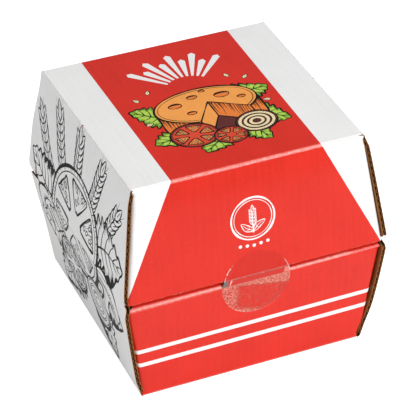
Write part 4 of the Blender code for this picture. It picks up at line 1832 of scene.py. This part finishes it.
@dataclass
class Tray(CartonHalf):
    """The lower half, from the hinge crease down the back, under the base and up to the rolled front rim."""

    fold: float = 0.9
    recess: float = 0.6
    corners: tuple[Point, Point] = ((0.0, 1.2), (2.4, 2.2))
    roll: float = 2.6
    tuck: float = 9.0
    rim_gaps: Point = (3.0, 0.6)
    # How far below the rolled rim's fold the painted highlight band lies, at the left end and three quarters of the
    # way to the right end, as shares of the fold's rounding.
    rim_highlight_rub: Point = (0.6, 0.1)
    stripe_heights: tuple[float, float] = (23.7, 16.6)
    stripe_width: float = 2.0
    stripe_rise: float = 0.55

    @property
    def flat_folds(self) -> tuple[int, int]:
        """The numbers of the path's corners at the base panel's two folds."""
        return (1, 2)

    def wrap(self) -> Wrap:
        """The back, base and front panels, with the front's rim rolled over and tucked inside."""
        half = self.half
        hinge = (float(half.panel_y(half.seam_height)), half.seam_height)
        base = half.flat_depth / 2
        rim = float(half.panel_y(half.panel_edge))
        inside = -rim + 2 * self.roll
        tucked = ((inside, half.panel_edge), (inside, half.panel_edge - self.tuck))
        corners = (hinge, (base, 0.0), (-base, 0.0), (-rim, half.panel_edge), *tucked)
        path = FoldedPath(corners, (self.fold, self.fold, self.roll, self.roll))
        return Wrap(half, path, (0, 2), self.end_fits)

    def fields(self, wrap: Wrap) -> list[Shape]:
        """The red front and back, each with two white stripes."""
        ends = wrap.path.ends()
        wide = self.half.seam_width
        made = []
        back, front = (-1.0, ends[1], ends[1], -1.0), (ends[2], ends[-1] + 1, ends[2], 1.0)
        for start, end, low, sign in (back, front):
            made.append(Shape(Ink.RED, np.array([(-wide, start), (wide, start), (wide, end), (-wide, end)])))
            for height in self.stripe_heights:
                middle = low + sign * height * (ends[3] - ends[2]) / self.half.panel_edge
                low_edge, high_edge = middle - self.stripe_width / 2, middle + self.stripe_width / 2
                rise = 2 * sign * self.stripe_rise
                right = [(wide, low_edge + rise), (wide, high_edge + rise)]
                made.append(Shape(Ink.BOARD, np.array([(-wide, low_edge), *right, (-wide, high_edge)])))
        return made

    def finish_end(self, wrap: Wrap, last: float, side: int) -> Array:
        """The outline along the rolled rim, which ends short of the side walls."""
        ends = wrap.path.ends()
        along = np.linspace(last + 0.4, ends[3] - 1.4, 7)
        bridge = np.stack([wrap.reach(along, side), along], axis=1)
        gap = self.rim_gaps[side > 0]
        rim_x = float(wrap.end_x(np.array([ends[3]]), side)[0])
        rim = [(rim_x, ends[3] - 1.2), (rim_x - gap * 0.6, ends[3] - 0.4), (rim_x - gap, ends[3] + 0.6)]
        return np.vstack([bridge, rim, [(rim_x - gap, ends[4]), (rim_x - gap - 0.4, ends[5])]])

    def dress(self, side: Drawing) -> None:
        """Makes the tray's pieces."""
        wrap = self.wrap()
        creases, beside = wrap.fold_lines(self.half.seam_width / 2)
        wide, ends = self.half.seam_width / 2, wrap.path.ends()
        rounding = wrap.path.reach(3)
        # A line along the rolled rim, laid among the creases so that the crease mask paints a highlight band along
        # it.
        rim_highlight_line = [(x, ends[3] - share * rounding) for x, share in zip((-wide, 0.75 * wide), self.rim_highlight_rub)]
        outline = self.wrap_outline(wrap, 0.0, float(ends[3] - wrap.ramp[1]))
        sheet = Sheet(
            "tray_wrap", outline, wrap.place, self.wrap_board, shapes=self.fields(wrap),
            creases=creases[:2] + [np.array(rim_highlight_line)], guides=beside + creases[2:] + wrap.end_lines(),
        )
        finish_piece(sheet.build(self.looks), self.node)
        self.dress_walls(side.shapes)


@dataclass
class Seal:
    """The round clear film across the front seam."""

    looks: Looks
    radius: float = 15.0
    across: float = 0.4
    drop: float = 4.5
    clearance: float = 0.12
    thickness: float = 0.1
    bend: float = 1.2
    lift_width: float = 4.0
    lift: float = 0.35

    def path(self) -> FoldedPath:
        """The film's path up the front: the tray's panel, the seam and the lid's panel."""
        lid_low, tray_top = LID.panel_edge, TRAY.panel_edge - 1.9
        points = []
        for half, z in ((TRAY, tray_top - 30.0), (TRAY, tray_top), (LID, lid_low), (LID, lid_low + 30.0)):
            points.append((-float(half.panel_y(z)) - self.clearance, z))
        return FoldedPath(tuple(points), (self.bend, self.bend))

    def place(self, flat: Array) -> Array:
        """Lays flat points, measured from the middle of the seal across and up from the lid's edge."""
        across, upward = flat.T
        path = self.path()
        points, outward = path.place(upward + path.ends()[2])
        from_middle = np.abs(across - self.across)
        rise = np.exp(-((upward / 1.6) ** 2)) * ease(from_middle, self.radius - self.lift_width, self.radius)
        y, z = (points + outward * (self.lift * rise)[:, None]).T
        return np.stack([across, y, z], axis=1)

    def dress(self) -> None:
        """Makes the film."""
        outline = oval((self.across, -self.drop), (self.radius, self.radius), 96)
        wide = self.radius + self.across
        seam = -float(self.path().ends()[2] - self.path().ends()[1])
        levels = [0.0, seam, 0.35, -0.35, seam + 0.4, seam - 0.4, 1.0, seam / 2]
        guides = [np.array([(-wide, level), (wide, level)]) for level in levels]
        sheet = Sheet(
            "seal_film", outline, self.place, self.thickness, ground=Ink.FILM, back=Ink.FILM, rim=Ink.FILM,
            guides=guides, spacing=2.0, edge_rows=(0.2, 0.5, 1.0),
        )
        finish_piece(sheet.build(self.looks), "seal")

@dataclass(frozen=True)
class Lamp:
    """A soft rectangular lamp that is turned to the carton."""

    name: str
    place: tuple[float, float, float]
    size: Point
    power: float
    aim: tuple[float, float, float] = (0.0, 0.0, 50.0)

    def light(self) -> None:
        """Hangs the lamp."""
        lamp = bpy.data.lights.new(self.name, "AREA")
        lamp.shape = "RECTANGLE"
        lamp.size, lamp.size_y = (side * MM for side in self.size)
        lamp.energy = self.power
        holder = new_object(self.name, lamp)
        holder.location = Vector(self.place) * MM
        holder.rotation_euler = (Vector(self.aim) * MM - holder.location).to_track_quat("-Z", "Y").to_euler()


LAMPS = (
    Lamp("front_lamp", (340.0, -880.0, 440.0), (460.0, 720.0), 8.8),
    Lamp("top_lamp", (100.0, 50.0, 1100.0), (800.0, 800.0), 4.7),
    Lamp("left_lamp", (-900.0, -150.0, 300.0), (600.0, 600.0), 2.1),
)


@dataclass(frozen=True)
class Studio:
    """A pale floor, soft lamps and the camera at the photo's angle."""

    azimuth: float = -22.47
    elevation: float = 34.53
    roll: float = -0.84
    camera_place: tuple[float, float, float] = (-293.6, -716.2, 579.3)
    lens_px: float = 2219.0
    frame_px: float = 416.0
    sensor: float = 36.0
    floor_size: float = 4000.0
    floor_front: float = 270.0
    floor_glow: float = 0.64
    floor_light: float = 0.12
    floor_tone: tuple[float, ...] = (0.76, 0.76, 0.76, 1.0)
    surround: float = 0.30

    def dress(self) -> None:
        """Makes the floor, the light and the camera."""
        self.make_floor()
        self.make_light()
        self.make_camera()
        bpy.context.scene.view_settings.view_transform = "Standard"

    def make_floor(self) -> None:
        """Lays the floor just under the carton."""
        half = self.floor_size / 2 * MM
        front = -self.floor_front * MM
        mesh = bpy.data.meshes.new("floor")
        corners = [(-half, front, 0), (half, front, 0), (half, half, 0), (-half, half, 0)]
        mesh.from_pydata(corners, [], [(0, 1, 2, 3)])
        floor = new_object("floor", mesh)
        made, bench, shader = start_material("pale_floor")
        seen = bench.given(bench.add("ShaderNodeLightPath"))["Is Camera Ray"]
        bench.fill(
            shader, Base_Color=self.floor_tone, Roughness=0.9, Specular_IOR_Level=0.0, Emission_Color=WHITE,
            Emission_Strength=seen * self.floor_glow + self.floor_light,
        )
        mesh.materials.append(made)

    def make_light(self) -> None:
        """Lights the scene with a white surround and the lamps."""
        world = bpy.data.worlds.new("white_surround")
        world.use_nodes = True
        tree = world.node_tree
        Bench(tree).fill(tree.nodes["Background"], Color=WHITE, Strength=self.surround)
        bpy.context.scene.world = world
        for lamp in LAMPS:
            lamp.light()

    def make_camera(self) -> None:
        """Sets the camera as fitted to the photo."""
        az, el, roll = (math.radians(angle) for angle in (self.azimuth, self.elevation, self.roll))
        back = Vector((math.sin(az) * math.cos(el), -math.cos(az) * math.cos(el), math.sin(el)))
        level = Vector((math.cos(az), math.sin(az), 0.0))
        upright = back.cross(level)
        right = level * math.cos(roll) + upright * math.sin(roll)
        up = upright * math.cos(roll) - level * math.sin(roll)
        data = bpy.data.cameras.new("camera")
        data.sensor_width = self.sensor
        data.lens = self.lens_px / self.frame_px * self.sensor
        data.clip_start = 0.01
        camera = new_object("camera", data)
        turn = Matrix((right, up, back)).transposed().to_4x4()
        camera.matrix_world = Matrix.Translation(Vector(self.camera_place) * MM) @ turn
        bpy.context.scene.camera = camera


def plain(corner: Vector) -> list[float]:
    """A corner of a box as a plain list."""
    return [float(value) for value in corner]


def main() -> None:
    """Builds the carton's looks around the frame, piece by piece."""
    logging.basicConfig(level=logging.INFO, format="%(message)s")
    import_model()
    effects = Effects()
    looks = {finish.ink: finish.material(effects) for finish in FINISHES}
    flutes = Flutes()
    side = side_drawing()
    lid_walls = (
        WallFit(quick=0.35, slow=-0.1, bow=0.0, rise=0.15, away=0.35, pinch=0.6),
        WallFit(quick=1.5, slow=-0.15, bow=0.1, rise=0.15, away=0.5),
    )
    lid_ends = (
        EndFit(at_flat=1.4, at_seam=1.8, corner_cut=-0.5, cut_length=12.0),
        EndFit(at_flat=0.3, at_seam=0.35, corner_cut=0.2, cut_length=3.0),
    )
    tray_walls = (
        WallFit(quick=0.65, slow=-0.55, bow=0.65, rise=0.2, away=0.0, pinch=1.1),
        WallFit(quick=1.4, slow=-0.2, bow=1.1, rise=0.40, away=0.2),
    )
    tray_ends = (
        EndFit(at_flat=0.4, at_seam=1.5, corner_cut=0.0, cut_length=3.0),
        EndFit(at_flat=-0.2, at_seam=0.8, corner_cut=1.8, cut_length=10.0),
    )
    Lid("lid", LID, looks, flutes, lid_walls, lid_ends).dress(side)
    Tray("tray", TRAY, looks, flutes, tray_walls, tray_ends).dress(side)
    Seal(looks).dress()
    Studio().dress()


if __name__ == "__main__":
    main()
